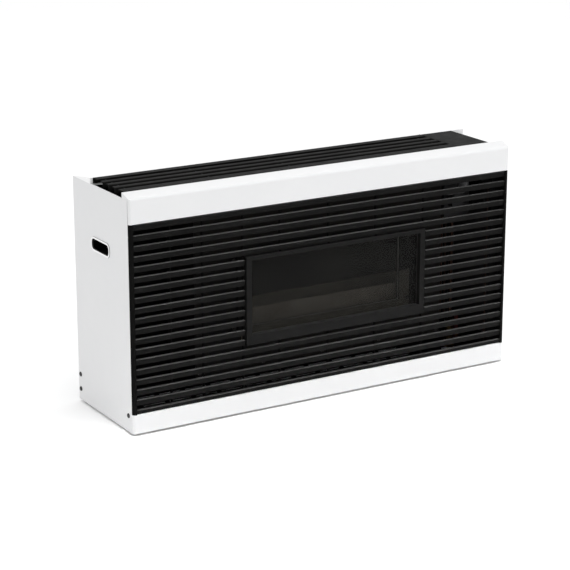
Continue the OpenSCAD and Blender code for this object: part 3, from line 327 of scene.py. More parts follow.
# painted shade: a darker, less shiny copy of the black enamel for parts in shade: corner stiles, grille ribs
# and rails, hand slot cups
finishes["shaded_black"] = newMaterial("shadedBlackEnamel", grainSkin, {
    "Colour": (0.0035, 0.0035, 0.0034, 1), "Cloud Colour": (0.006, 0.0058, 0.0055, 1), "Cloud Size": 18.0,
    "Cloud Amount": 0.8, "Gloss Low": 0.55, "Gloss High": 0.7, "Grain Size": 1500.0, "Grain Depth": 0.2},
    dustAndHighlight=0.02, Specular_IOR_Level=0.02)
finishes["black_sheet"] = newMaterial("blackSatinEnamel", grainSkin, {
    "Colour": (0.0055, 0.0055, 0.0054, 1), "Cloud Colour": (0.0085, 0.0083, 0.008, 1), "Cloud Size": 18.0,
    "Cloud Amount": 0.8, "Gloss Low": 0.45, "Gloss High": 0.58, "Grain Size": 1500.0, "Grain Depth": 0.2},
    dustAndHighlight=0.03, Specular_IOR_Level=0.06)
finishes["deck_sheet"] = newMaterial("deckEnamel", grainSkin, {
    "Colour": (0.0045, 0.0045, 0.0044, 1), "Cloud Colour": (0.0085, 0.0083, 0.008, 1), "Cloud Size": 22.0,
    "Cloud Amount": 0.9, "Gloss Low": 0.62, "Gloss High": 0.8, "Grain Size": 700.0, "Grain Depth": 0.3},
    dustAndHighlight=0.04, Specular_IOR_Level=0.03)
# painted highlight: the dust here is set so the blade tops read as bright lit lines
finishes["louvre_sheet"] = newMaterial("louvreEnamel", grainSkin, {
    "Colour": (0.0035, 0.0035, 0.0034, 1), "Cloud Colour": (0.0065, 0.0063, 0.006, 1), "Cloud Size": 18.0,
    "Cloud Amount": 0.8, "Gloss Low": 0.45, "Gloss High": 0.6, "Grain Size": 1500.0, "Grain Depth": 0.2},
    dustAndHighlight=0.25, Specular_IOR_Level=0.045)
# galvanised sheet, with painted shade on its faces inside the casing
finishes["galvanised"] = lineInside(newMaterial("galvanisedSheet", zincSpangle, {}, dustAndHighlight=0.25, Metallic=0.85))
finishes["box_steel"] = newMaterial("greyHeatEnamel", grainSkin, {
    "Colour": (0.006, 0.006, 0.0062, 1), "Cloud Colour": (0.011, 0.0095, 0.008, 1), "Cloud Size": 9.0,
    "Cloud Amount": 0.9, "Gloss Low": 0.65, "Gloss High": 0.8, "Grain Size": 700.0, "Grain Depth": 0.3},
    dustAndHighlight=0.02, Specular_IOR_Level=0.06)
# painted light: the fire box is a lighter brown below the zone's height and dark above
finishes["fired_box"] = newMaterial("firedBoxEnamel", grainSkin, {
    "Colour": (0.006, 0.006, 0.0062, 1), "Cloud Colour": (0.011, 0.0095, 0.008, 1), "Cloud Size": 9.0,
    "Cloud Amount": 0.9, "Gloss Low": 0.7, "Gloss High": 0.85, "Grain Size": 500.0, "Grain Depth": 0.2},
    zone={"Brown Colour": (0.72, 0.65, 0.52, 1), "Height": -0.054}, Specular_IOR_Level=0.04)
# painted light: the inner glass frame is a lighter brown low down and dark above
finishes["fired_frame"] = newMaterial("firedFrameEnamel", grainSkin, {
    "Colour": (0.008, 0.008, 0.0082, 1), "Cloud Colour": (0.011, 0.0105, 0.010, 1), "Cloud Size": 9.0,
    "Cloud Amount": 0.9, "Gloss Low": 0.8, "Gloss High": 0.9, "Grain Size": 300.0, "Grain Depth": 0.08},
    zone={"Brown Colour": (0.10, 0.092, 0.075, 1), "Height": -0.010, "Middle": 0.03, "Half Width": 0.172},
    Specular_IOR_Level=0.02)
finishes["shield_steel"] = newMaterial("heatBrownedSteel", drawnMetal, {
    "Colour": (0.66, 0.60, 0.50, 1), "Stain Colour": (0.42, 0.34, 0.26, 1), "Stain Amount": 0.85,
    "Gloss Low": 0.5, "Gloss High": 0.7, "Line Size": 40.0, "Line Depth": 0.25}, Metallic=0.05)
finishes["burner_steel"] = newMaterial("aluminisedSteel", drawnMetal, {
    "Colour": (0.52, 0.50, 0.48, 1), "Stain Colour": (0.30, 0.24, 0.20, 1), "Stain Amount": 0.7,
    "Gloss Low": 0.38, "Gloss High": 0.56, "Line Size": 70.0, "Line Depth": 0.2}, dustAndHighlight=0.1, Metallic=0.9)
finishes["bright_steel"] = newMaterial("zincPlatedSteel", drawnMetal, {
    "Colour": (0.70, 0.70, 0.69, 1), "Stain Colour": (0.55, 0.52, 0.42, 1), "Stain Amount": 0.35,
    "Gloss Low": 0.22, "Gloss High": 0.36, "Line Size": 110.0, "Line Depth": 0.12}, Metallic=1.0)
finishes["screw_steel"] = newMaterial("darkScrewSteel", drawnMetal, {
    "Colour": (0.05, 0.05, 0.05, 1), "Stain Colour": (0.02, 0.019, 0.018, 1), "Stain Amount": 0.6,
    "Gloss Low": 0.3, "Gloss High": 0.45, "Line Size": 160.0, "Line Depth": 0.15}, Metallic=0.8)
finishes["heat_screw"] = newMaterial("heatDarkScrews", drawnMetal, {
    "Colour": (0.02, 0.019, 0.018, 1), "Stain Colour": (0.012, 0.010, 0.008, 1), "Stain Amount": 0.6,
    "Gloss Low": 0.5, "Gloss High": 0.65, "Line Size": 160.0, "Line Depth": 0.15}, Metallic=0.7)
finishes["dial_sheet"] = newMaterial("anodisedDial", drawnMetal, {
    "Colour": (0.72, 0.72, 0.71, 1), "Stain Colour": (0.62, 0.61, 0.59, 1), "Stain Amount": 0.4,
    "Gloss Low": 0.32, "Gloss High": 0.42, "Line Size": 120.0, "Line Depth": 0.1}, Metallic=0.9)
# painted shade: the die-cast alloy is made near-black, far darker than its own grey, as it lies in shade
# behind the louvres
finishes["valve_alloy"] = newMaterial("dieCastAlloy", grainSkin, {
    "Colour": (0.03, 0.03, 0.031, 1), "Cloud Colour": (0.018, 0.018, 0.018, 1), "Cloud Size": 30.0,
    "Cloud Amount": 0.8, "Gloss Low": 0.4, "Gloss High": 0.55, "Grain Size": 650.0, "Grain Depth": 0.4},
    dustAndHighlight=0.02, Metallic=0.9)
finishes["brass"] = newMaterial("turnedBrass", drawnMetal, {
    "Colour": (0.24, 0.165, 0.07, 1), "Stain Colour": (0.10, 0.065, 0.03, 1), "Stain Amount": 0.6,
    "Gloss Low": 0.22, "Gloss High": 0.4, "Line Size": 90.0, "Line Depth": 0.12}, Metallic=1.0)
# painted shade: the copper is made near-black, far darker than its own colour, as it lies in shade behind the
# louvres
finishes["copper"] = newMaterial("copperPipe", drawnMetal, {
    "Colour": (0.035, 0.02, 0.014, 1), "Stain Colour": (0.016, 0.010, 0.008, 1), "Stain Amount": 0.7,
    "Gloss Low": 0.26, "Gloss High": 0.45, "Line Size": 60.0, "Line Depth": 0.1}, Metallic=1.0)
finishes["black_seal"] = newMaterial("blackSealRubber", grainSkin, {
    "Colour": (0.02, 0.02, 0.02, 1), "Cloud Colour": (0.035, 0.034, 0.032, 1), "Cloud Size": 25.0,
    "Cloud Amount": 0.7, "Gloss Low": 0.6, "Gloss High": 0.75, "Grain Size": 900.0, "Grain Depth": 0.3},
    Specular_IOR_Level=0.3)
finishes["black_plastic"] = newMaterial("knobPlastic", grainSkin, {
    "Colour": (0.014, 0.014, 0.014, 1), "Cloud Colour": (0.02, 0.02, 0.021, 1), "Cloud Size": 40.0,
    "Cloud Amount": 0.6, "Gloss Low": 0.34, "Gloss High": 0.46, "Grain Size": 2200.0, "Grain Depth": 0.25},
    dustAndHighlight=0.05)
finishes["body_plastic"] = newMaterial("igniterPlastic", grainSkin, {
    "Colour": (0.05, 0.05, 0.052, 1), "Cloud Colour": (0.07, 0.07, 0.07, 1), "Cloud Size": 40.0,
    "Cloud Amount": 0.6, "Gloss Low": 0.38, "Gloss High": 0.5, "Grain Size": 1800.0, "Grain Depth": 0.25})
finishes["red_plastic"] = newMaterial("redPlastic", grainSkin, {
    "Colour": (0.50, 0.018, 0.014, 1), "Cloud Colour": (0.40, 0.014, 0.012, 1), "Cloud Size": 60.0,
    "Cloud Amount": 0.7, "Gloss Low": 0.2, "Gloss High": 0.3, "Grain Size": 1500.0, "Grain Depth": 0.1},
    dustAndHighlight=0.05)
# a much darker red than the igniter button's
finishes["dark_red_plastic"] = newMaterial("darkRedPlastic", grainSkin, {
    "Colour": (0.035, 0.005, 0.0045, 1), "Cloud Colour": (0.022, 0.004, 0.0035, 1), "Cloud Size": 60.0,
    "Cloud Amount": 0.7, "Gloss Low": 0.4, "Gloss High": 0.5, "Grain Size": 1500.0, "Grain Depth": 0.1},
    dustAndHighlight=0.05, Specular_IOR_Level=0.1)
finishes["lead_rubber"] = newMaterial("siliconeLead", grainSkin, {
    "Colour": (0.018, 0.018, 0.018, 1), "Cloud Colour": (0.03, 0.029, 0.027, 1), "Cloud Size": 35.0,
    "Cloud Amount": 0.7, "Gloss Low": 0.5, "Gloss High": 0.65, "Grain Size": 1300.0, "Grain Depth": 0.15})
finishes["insulator"] = newMaterial("firedCeramic", grainSkin, {
    "Colour": (0.86, 0.83, 0.76, 1), "Cloud Colour": (0.66, 0.60, 0.50, 1), "Cloud Size": 45.0,
    "Cloud Amount": 0.55, "Gloss Low": 0.25, "Gloss High": 0.4, "Grain Size": 1200.0, "Grain Depth": 0.1})


def newFibre(name, low, high, sooty):
    # woven glass fibre: two crossing waves give the threads
    material, tree, surface = startMaterial(name, {})
    across = addNode(tree, "TexWave", wave_type="BANDS", bands_direction="DIAGONAL",
                     Scale=330.0, Distortion=1.5)
    along = addNode(tree, "TexWave", wave_type="BANDS", bands_direction="Z", Scale=330.0, Distortion=1.5)
    vector = objectPlace(tree)
    tree.links.new(vector, across.inputs["Vector"])
    tree.links.new(vector, along.inputs["Vector"])
    threads = calculate(tree, "MULTIPLY", across.outputs["Fac"], along.outputs["Fac"])
    soot = spread(tree, noise(tree, vector, 24, 4), 0, 0.6)
    clean = mixColours(tree, threads, low, high)
    tree.links.new(mixColours(tree, soot, clean, sooty), surface["Base Color"])
    tree.links.new(spread(tree, threads, 0.9, 0.72, 0, 1), surface["Roughness"])
    tree.links.new(bump(tree, threads, 0.5, 0.0004), surface["Normal"])
    return material


def newGlass(name, tint, smoke, clear, **plain):
    # tint is the body of the glass, smoke a faint film on it; clear is how much shows through
    material, tree, surface = startMaterial(name, plain)
    film = spread(tree, noise(tree, objectPlace(tree), 9, 4, 0.6), 0, 1)
    tree.links.new(mixColours(tree, film, tint, smoke), surface["Base Color"])
    tree.links.new(spread(tree, film, 0.05, 0.11, 0, 1), surface["Roughness"])
    tree.links.new(spread(tree, film, 1 - clear, 1 - clear * 0.92, 0, 1), surface["Alpha"])
    return material


finishes["seal_fibre"] = newFibre(
    "glassFibreRope", (0.52, 0.50, 0.45, 1), (0.82, 0.81, 0.77, 1), (0.42, 0.38, 0.32, 1))
finishes["graphite_fibre"] = newFibre(
    "graphitedRope", (0.008, 0.008, 0.008, 1), (0.02, 0.02, 0.019, 1), (0.006, 0.006, 0.006, 1))
finishes["door_glass"] = newGlass(
    "smokedDoorGlass", (0.0118, 0.0118, 0.0116, 1), (0.0145, 0.0145, 0.0135, 1), 0.6,
    Specular_IOR_Level=0.02)
finishes["clear_glass"] = newGlass(
    "heatProofGlass", (0.05, 0.048, 0.043, 1), (0.07, 0.065, 0.055, 1), 0.85,
    Specular_IOR_Level=0.03)


def at(x, y, z):
    return Vector((x, y, z - fixHeight)) / 1000


def inMm(point):
    return Vector((point.x * 1000, point.y * 1000, point.z * 1000 + fixHeight))


def near(first, second, slack=0.06):
    return abs(first - second) < slack


def both(a, b, test):
    return test(a) and test(b)


def deselectAll():
    if bpy.context.object and bpy.context.object.mode != "OBJECT":
        bpy.ops.object.mode_set(mode="OBJECT")
    bpy.ops.object.select_all(action="DESELECT")


def makeActive(piece):
    deselectAll()
    piece.select_set(True)
    bpy.context.view_layer.objects.active = piece


def settle(piece):
    makeActive(piece)
    bpy.ops.object.transform_apply(location=True, rotation=True, scale=True)


def openForPicking(piece, mode):
    makeActive(piece)
    bpy.ops.object.mode_set(mode="EDIT")
    bpy.ops.mesh.select_mode(type=mode)
    bpy.ops.mesh.select_all(action="DESELECT")
    bpy.ops.object.mode_set(mode="OBJECT")


def pickFaces(piece, test):
    openForPicking(piece, "FACE")
    for face in piece.data.polygons:
        face.select = bool(test(inMm(face.center), face.normal))
    bpy.ops.object.mode_set(mode="EDIT")


def pickEdges(piece, test):
    openForPicking(piece, "EDGE")
    corners = [inMm(vertex.co) for vertex in piece.data.vertices]
    for edge in piece.data.edges:
        edge.select = bool(test(corners[edge.vertices[0]], corners[edge.vertices[1]]))
    bpy.ops.object.mode_set(mode="EDIT")


def pickLines(piece, test):
    # the edges with both ends where the test says
    pickEdges(piece, lambda a, b: both(a, b, test))


def pickPoints(piece, test):
    openForPicking(piece, "VERT")
    for vertex in piece.data.vertices:
        vertex.select = bool(test(inMm(vertex.co)))
    bpy.ops.object.mode_set(mode="EDIT")


def moveBy(x=0, y=0, z=0):
    bpy.ops.transform.translate(value=(x / 1000, y / 1000, z / 1000))


def pullOut(x=0, y=0, z=0):
    shift = (x / 1000, y / 1000, z / 1000)
    bpy.ops.mesh.extrude_region_move(TRANSFORM_OT_translate={"value": shift})


def roundOff(radius, segments=3, affect="EDGES"):
    bpy.ops.mesh.bevel(offset=radius / 1000, segments=segments, affect=affect)


def insetBy(width):
    bpy.ops.mesh.inset(thickness=width / 1000, depth=0)


def addAndApply(piece, kind, **values):
    makeActive(piece)
    modifier = piece.modifiers.new(kind.title(), kind)
    for key, value in values.items():
        setattr(modifier, key, value)
    bpy.ops.object.modifier_apply(modifier=modifier.name)


def thicken(piece, thick):
    addAndApply(piece, "SOLIDIFY", thickness=thick / 1000, offset=-1, use_even_offset=True)


def cutWith(piece, tool, operation="DIFFERENCE"):
    deselectAll()
    addAndApply(piece, "BOOLEAN", operation=operation, object=tool, solver="EXACT")
    bpy.data.objects.remove(tool)


def named(piece, name):
    piece.name = name
    piece.data.name = name
    return piece


def block(name, x, y, z):
    deselectAll()
    low, high = at(x[0], y[0], z[0]), at(x[1], y[1], z[1])
    bpy.ops.mesh.primitive_cube_add(size=1, location=(low + high) / 2)
    piece = named(bpy.context.object, name)
    piece.scale = high - low
    settle(piece)
    return piece


def rod(name, start, end, radius, sides=48):
    deselectAll()
    low, high = at(*start), at(*end)
    bpy.ops.mesh.primitive_cylinder_add(
        vertices=sides, radius=radius / 1000, depth=(high - low).length, location=(low + high) / 2,
        rotation=(high - low).to_track_quat("Z", "Y").to_euler())
    piece = named(bpy.context.object, name)
    settle(piece)
    return piece


def foldSheet(name, points, width, bend, thick):
    # a strip along X, folded through (y, z) points; its outside is to the left of the way it goes
    deselectAll()
    (y0, z0), (y1, z1) = points[:2]
    centre = at(sum(width) / 2, (y0 + y1) / 2, (z0 + z1) / 2)
    lean = math.atan2(z1 - z0, y1 - y0)
    bpy.ops.mesh.primitive_plane_add(size=1, location=centre, rotation=(lean, 0, 0))
    piece = named(bpy.context.object, name)
    piece.scale = ((width[1] - width[0]) / 1000, math.hypot(y1 - y0, z1 - z0) / 1000, 1)
    settle(piece)
    pickLines(piece, lambda p: near(p.y, y1) and near(p.z, z1))
    for (y0, z0), (y1, z1) in zip(points[1:], points[2:]):
        pullOut(y=y1 - y0, z=z1 - z0)
    for y, z in points[1:-1]:
        pickLines(piece, lambda p: near(p.y, y) and near(p.z, z))
        roundOff(bend, 3)
    thicken(piece, thick)
    return piece


def outline(name, x, grow, slot):
    # the hand slot's oblong, as one face that looks to -X
    deselectAll()
    bpy.ops.mesh.primitive_plane_add(size=1, location=at(x, -slot["fromWall"], slot["height"]),
                                     rotation=(0, -math.pi / 2, 0))
    piece = named(bpy.context.object, name)
    piece.scale = ((slot["tall"] + 2 * grow) / 1000, (slot["long"] + 2 * grow) / 1000, 1)
    settle(piece)
    pickPoints(piece, lambda p: True)
    roundOff(slot["corner"] + grow, 9, "VERTICES")
    return piece


def copyOf(piece, name, x=0, y=0, z=0):
    makeActive(piece)
    bpy.ops.object.duplicate(linked=False)
    other = named(bpy.context.object, name)
    other.location = Vector((x, y, z)) / 1000
    settle(other)
    return other


def mirrored(piece, name):
    other = copyOf(piece, name)
    other.scale.x = -1
    settle(other)
    pickPoints(other, lambda p: True)
    bpy.ops.mesh.remove_doubles(threshold=0.000001)
    bpy.ops.mesh.normals_make_consistent(inside=False)
    deselectAll()
    return other


def joined(name, pieces):
    deselectAll()
    for piece in pieces:
        piece.select_set(True)
    bpy.context.view_layer.objects.active = pieces[0]
    bpy.ops.object.join()
    return named(bpy.context.object, name)


def finishPiece(piece, finish, nodes, body="heater", edge=0.25, coat=None):
    # soft edges, then smooth shading that keeps the flat faces flat
    sharp = math.radians(40)
    if edge:
        addAndApply(piece, "BEVEL", width=edge / 1000, segments=2, limit_method="ANGLE", angle_limit=sharp)
    makeActive(piece)
    bpy.ops.object.shade_smooth_by_angle(angle=sharp)
    addAndApply(piece, "WEIGHTED_NORMAL", keep_sharp=True)
    piece.data.materials.clear()
    piece.data.materials.append(finishes[coat or finish])
    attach(piece, body)
    if nodes:
        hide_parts(*nodes)
    deselectAll()


print("side panels")
casing = {"half": 372.5, "front": -205.0, "corner": 6.0, "sheet": 1.2, "height": 390.0, "top": 400.0}
inside = casing["half"] - casing["sheet"]
cornerBack = casing["front"] + casing["corner"]
slot = {"long": 64.0, "tall": 20.0, "corner": 8.0, "fromWall": 99.0, "height": 291.0,
        "cutFrom": 3.0, "cutDepth": 12.0}
panel = {"hemFrom": -181.0, "hemTo": -68.0, "hem": 8.0, "foot": 12.0, "frontReturn": 4.5,
         "bend": 1.1, "returnFrom": 3.6, "returnTo": 351.0}
footFront = cornerBack + panel["foot"]


def onFront(p):
    return near(p.y, casing["front"])


def onFootFold(a, b):
    return near(a.z, 0) and near(b.z, 0) and max(a.y, b.y) > footFront + 1


def onFrontFold(a, b):
    return (both(a, b, lambda p: near(p.y, cornerBack)) and min(a.z, b.z) > 1
            and max(a.z, b.z) < panel["returnTo"] + 1)


def onHemFold(a, b):
    return (both(a, b, lambda p: near(p.z, casing["height"]))
            and min(a.y, b.y) > panel["hemFrom"] - 1 and max(a.y, b.y) < panel["hemTo"] + 1)


def onOuterFold(a, b):
    return (both(a, b, lambda p: near(p.x, -casing["half"]))
            and (onFootFold(a, b) or onFrontFold(a, b) or onHemFold(a, b)))


leftPanel = block("leftSidePanel", (-casing["half"], -inside), (cornerBack, 0), (0, casing["height"]))
pickFaces(leftPanel, lambda c, n: n.x > -0.9)
bpy.ops.mesh.delete(type="FACE")
for y in (panel["hemFrom"], footFront, panel["hemTo"]):
    pickPoints(leftPanel, lambda p: True)
    bpy.ops.mesh.bisect(plane_co=at(0, y, 0), plane_no=(0, 1, 0))
for z in (panel["returnFrom"], panel["returnTo"]):
    pickPoints(leftPanel, lambda p: True)
    bpy.ops.mesh.bisect(plane_co=at(0, 0, z), plane_no=(0, 0, 1))
pickEdges(leftPanel, onFootFold)
pullOut(x=panel["foot"])
pickEdges(leftPanel, onFrontFold)
pullOut(x=panel["frontReturn"])
pickEdges(leftPanel, onHemFold)
pullOut(x=2 * casing["sheet"])
pullOut(z=-panel["hem"])
pickEdges(leftPanel, onOuterFold)
roundOff(panel["bend"], 3)
thicken(leftPanel, casing["sheet"])
hole = outline("slotHole", -casing["half"] - slot["cutFrom"], 0, slot)
pickFaces(hole, lambda c, n: True)
pullOut(x=slot["cutDepth"])
pickFaces(hole, lambda c, n: True)
bpy.ops.mesh.normals_make_consistent(inside=False)
cutWith(leftPanel, hole)
rightPanel = mirrored(leftPanel, "rightSidePanel")
# side panels: white outside, painted shade on their inner faces
finishPiece(leftPanel, "white_sheet", ["left_side_panel"], edge=0.2, coat="shade_painted_white_sheet")
finishPiece(rightPanel, "white_sheet", ["right_side_panel"], edge=0.2, coat="shade_painted_white_sheet")

print("hand slot lips")
lip = {"reach": 2.5, "proud": 1.2, "wall": 1.0, "behind": 1.0, "seat": 0.15, "rounding": 1.1}


def slotGap(p):
    # how far a point lies outside the hand slot's oblong
    along = abs(p.y + slot["fromWall"]) - slot["long"] / 2 + slot["corner"]
    up = abs(p.z - slot["height"]) - slot["tall"] / 2 + slot["corner"]
    return math.hypot(max(along, 0), max(up, 0)) + min(max(along, up), 0) - slot["corner"]


def inSlotMiddle(c):
    return near(c.z, slot["height"], 0.5) and near(c.y, -slot["fromWall"], 0.5)


lipFront = -casing["half"] - lip["proud"]
rimWidth = lip["reach"] + lip["seat"] + lip["wall"]
leftLip = outline("handSlotLips", lipFront, lip["reach"], slot)
pickFaces(leftLip, lambda c, n: True)
pullOut(x=lip["proud"])
pickFaces(leftLip, lambda c, n: True)
bpy.ops.mesh.normals_make_consistent(inside=False)
pickFaces(leftLip, lambda c, n: n.x > 0.9)
insetBy(lip["reach"] + lip["seat"])
pullOut(x=casing["sheet"] + lip["behind"])
insetBy(lip["wall"])
pickFaces(leftLip, lambda c, n: n.x < -0.9)
insetBy(rimWidth)
pickFaces(leftLip, lambda c, n: abs(n.x) > 0.9 and inSlotMiddle(c))
bpy.ops.mesh.bridge_edge_loops()
for gap in (lip["reach"], lip["reach"] - rimWidth):
    pickLines(leftLip, lambda p: near(p.x, lipFront) and near(slotGap(p), gap, 0.2))
    roundOff(lip["rounding"], 4)
lips = joined("handSlotLips", [leftLip, mirrored(leftLip, "rightLip")])
# the lips take painted light on their rims and painted shade inside the casing
finishPiece(lips, "white_sheet", ["hand_slot_lips"], edge=0, coat="shade_and_light_painted_lip")

print("top fascia")
fascia = {"half": 380.0, "foot": 351.0, "back": -181.0, "fall": 7.5, "bend": 3.7, "rear": 14.0,
          "flange": 12.0, "cheekTop": 390.25, "foldDraw": 0.9955, "foldBend": 0.9, "margin": 5.0}
topFascia = block("topFascia", (-fascia["half"], fascia["half"]), (casing["front"], fascia["back"]),
                  (fascia["foot"], casing["top"]))
pickLines(topFascia, lambda p: onFront(p) and near(p.z, casing["top"]))
moveBy(z=-fascia["fall"])
pickLines(topFascia, lambda p: onFront(p) and p.z > fascia["foot"] + 1)
roundOff(fascia["bend"], 6)
plan = block("fasciaPlan", (-casing["half"], casing["half"]),
             (casing["front"], fascia["back"] + fascia["margin"]),
             (fascia["foot"] - fascia["margin"], casing["top"] + fascia["margin"]))
pickEdges(plan, lambda a, b: both(a, b, onFront) and near(a.x, b.x))
roundOff(casing["corner"], 8)
cutWith(topFascia, plan, "INTERSECT")
pickFaces(topFascia, lambda c, n: (n.y > 0.9 and near(c.y, fascia["back"])) or n.z < -0.9)
bpy.ops.mesh.delete(type="FACE")
pickLines(topFascia, lambda p: near(p.y, fascia["back"]) and near(p.z, casing["top"]))
pullOut(z=-fascia["rear"])
bpy.ops.transform.resize(value=(fascia["foldDraw"], 1, 1), center_override=(0, 0, 0))
pickLines(topFascia, lambda p: onFront(p) and near(p.z, fascia["foot"]))
pullOut(y=fascia["flange"])
for y, z in ((fascia["back"], casing["top"]), (casing["front"], fascia["foot"])):
    pickLines(topFascia, lambda p: near(p.y, y) and near(p.z, z))
    roundOff(fascia["foldBend"], 3)
pickFaces(topFascia, lambda c, n: abs(n.x) > 0.99)
bpy.ops.mesh.bisect(plane_co=at(0, 0, fascia["cheekTop"]), plane_no=(0, 0, 1))
pickFaces(topFascia, lambda c, n: abs(n.x) > 0.99 and c.z < fascia["cheekTop"])
bpy.ops.mesh.delete(type="FACE")
thicken(topFascia, casing["sheet"])
finishPiece(topFascia, "white_sheet", ["top_fascia"], edge=0.3)

print("bottom band")
band = {"height": 32.5, "depth": 20.0, "flange": 12.0, "bend": 0.9}
bottomBand = block("bottomBand", (-casing["half"], casing["half"]),
                   (casing["front"], casing["front"] + band["depth"]), (0, band["height"]))
pickEdges(bottomBand, lambda a, b: both(a, b, onFront) and near(a.x, b.x))
roundOff(casing["corner"], 8)
pickFaces(bottomBand, lambda c, n: n.y > 0.9 or abs(n.z) > 0.9)
bpy.ops.mesh.delete(type="FACE")
pickPoints(bottomBand, lambda p: True)
bpy.ops.mesh.bisect(plane_co=at(0, cornerBack, 0), plane_no=(0, 1, 0), clear_outer=True)
pickEdges(bottomBand, lambda a, b: both(a, b, onFront) and near(a.z, b.z))
pullOut(y=band["flange"])
pickEdges(bottomBand, lambda a, b: both(a, b, onFront) and near(a.z, b.z))
roundOff(band["bend"], 3)
thicken(bottomBand, casing["sheet"])
finishPiece(bottomBand, "white_sheet", ["bottom_band"], edge=0.2)

print("rear top rail")
rail = {"front": -66.0, "foot": 386.0, "bend": 1.0, "tabTop": 388.3, "tabFoot": 374.0,
        "cheekLap": 0.1, "cheekFall": 9.9}
railShape = [(rail["front"], rail["foot"]), (rail["front"], casing["top"]), (0, casing["height"])]
tabShape = [(-casing["sheet"], rail["tabTop"]), (-casing["sheet"], rail["tabFoot"])]
railParts = [foldSheet(name, shape, (-inside, inside), rail["bend"], casing["sheet"])
             for name, shape in (("rearTopRail", railShape), ("railTab", tabShape))]
for side in (-1, 1):
    ends = sorted((side * (inside - rail["cheekLap"]), side * casing["half"]))
    cheek = block("railCheek", ends, (rail["front"], 0), (casing["height"], casing["top"]))
    pickLines(cheek, lambda p: near(p.y, 0) and near(p.z, casing["top"]))
    moveBy(z=-rail["cheekFall"])
    railParts.append(cheek)
rearRail = joined("rearTopRail", railParts)
# the rear rail takes the lighter, painted light copy of the white
finishPiece(rearRail, "white_sheet", ["rear_top_rail"], edge=0.25, coat="painted_light_white")

print("corner stiles")
stile = {"inner": 365.0, "foot": 32.5, "top": 351.0, "depth": 8.0, "return": 5.0, "bend": 0.9}
stileBack = casing["front"] + stile["depth"]
leftStile = block("cornerStiles", (-casing["half"], -stile["inner"]), (casing["front"], stileBack),
                  (stile["foot"], stile["top"]))
pickLines(leftStile, lambda p: onFront(p) and near(p.x, -casing["half"]))
roundOff(casing["corner"], 8)
pickFaces(leftStile, lambda c, n: n.y > 0.9 or abs(n.z) > 0.9 or n.x < -0.99)
bpy.ops.mesh.delete(type="FACE")
pickLines(leftStile, lambda p: near(p.x, -stile["inner"]) and near(p.y, stileBack))
moveBy(y=stile["return"])
pickLines(leftStile, lambda p: onFront(p) and near(p.x, -stile["inner"]))
roundOff(stile["bend"], 3)
thicken(leftStile, casing["sheet"])
stiles = joined("cornerStiles", [leftStile, mirrored(leftStile, "rightStile")])
# the corner stiles take the darker, painted shade copy of the black
finishPiece(stiles, "black_sheet", ["corner_stiles"], edge=0.15, coat="shaded_black")

print("louvre blades")
window = {"left": -160.0, "right": 196.5, "foot": 116.0, "top": 268.0, "edge": 6.0, "side": 10.5,
          "lower": 17.0, "upper": 6.5, "back": -190.5, "gap": 2.0, "rounding": 1.0}
rows = {"front": -204.0, "depth": 7.0, "face": 9.5, "lean": 2.6, "thick": 1.4, "bend": 0.9, "end": 364.9,
        "top": 349.1, "pitch": 17.2, "count": 19, "cutFrom": 5, "cutTo": 13,
        "footShift": -0.75, "footLift": 2.8}
bladeShape = [(rows["front"] + rows["lean"], rows["top"] - rows["face"]), (rows["front"], rows["top"]),
              (rows["front"] + rows["depth"], rows["top"])]
spans = {"long": (-rows["end"], rows["end"]), "left": (-rows["end"], window["left"] - window["gap"]),
         "right": (window["right"] + window["gap"], rows["end"])}
patterns = {}
for title, width in spans.items():
    patterns[title] = foldSheet(title + "Blade", bladeShape, width, rows["bend"], rows["thick"])
blades = []
for row in range(rows["count"]):
    for title in ("left", "right") if rows["cutFrom"] <= row <= rows["cutTo"] else ("long",):
        blades.append(copyOf(patterns[title], "blade", z=-row * rows["pitch"]))
for pattern in patterns.values():
    bpy.data.objects.remove(pattern)
pickPoints(blades[-1], lambda p: p.z < stile["foot"])  # the last blade's foot clears the band
moveBy(y=rows["footShift"], z=rows["footLift"])
louvres = joined("louvreBlades", blades)
finishPiece(louvres, "black_sheet", ["louvre_blades"], edge=0.2, coat="louvre_sheet")

print("window frame")
rebate = {"side": 5.3, "foot": 11.8, "top": 1.3, "front": -196.0}
windowFrame = block("windowFrame", (window["left"], window["right"]), (casing["front"], window["back"]),
                    (window["foot"], window["top"]))
pickFaces(windowFrame, lambda c, n: abs(n.y) > 0.9)
insetBy(window["edge"])
shifts = ((lambda p: near(p.x, window["left"] + window["edge"]), {"x": window["side"] - window["edge"]}),
          (lambda p: near(p.x, window["right"] - window["edge"]), {"x": window["edge"] - window["side"]}),
          (lambda p: near(p.z, window["foot"] + window["edge"]), {"z": window["lower"] - window["edge"]}),
          (lambda p: near(p.z, window["top"] - window["edge"]), {"z": window["edge"] - window["upper"]}))
for test, shift in shifts:
    pickPoints(windowFrame, test)
    moveBy(**shift)
middle = ((window["left"] + window["right"]) / 2,
          (window["foot"] + window["lower"] + window["top"] - window["upper"]) / 2)
pickFaces(windowFrame, lambda c, n: abs(n.y) > 0.9 and near(c.x, middle[0], 1) and near(c.z, middle[1], 1))
bpy.ops.mesh.bridge_edge_loops()
pickEdges(windowFrame, lambda a, b: both(a, b, onFront) and not (
    abs(a.x - b.x) > 1 and abs(a.z - b.z) > 1))
roundOff(window["rounding"], 4)
cutWith(windowFrame, block("glassRebate", (window["left"] + rebate["side"], window["right"] - rebate["side"]),
                           (rebate["front"], window["back"] + 1),
                           (window["foot"] + rebate["foot"], window["top"] - rebate["top"])))
finishPiece(windowFrame, "black_sheet", ["window_frame"], edge=0.2)

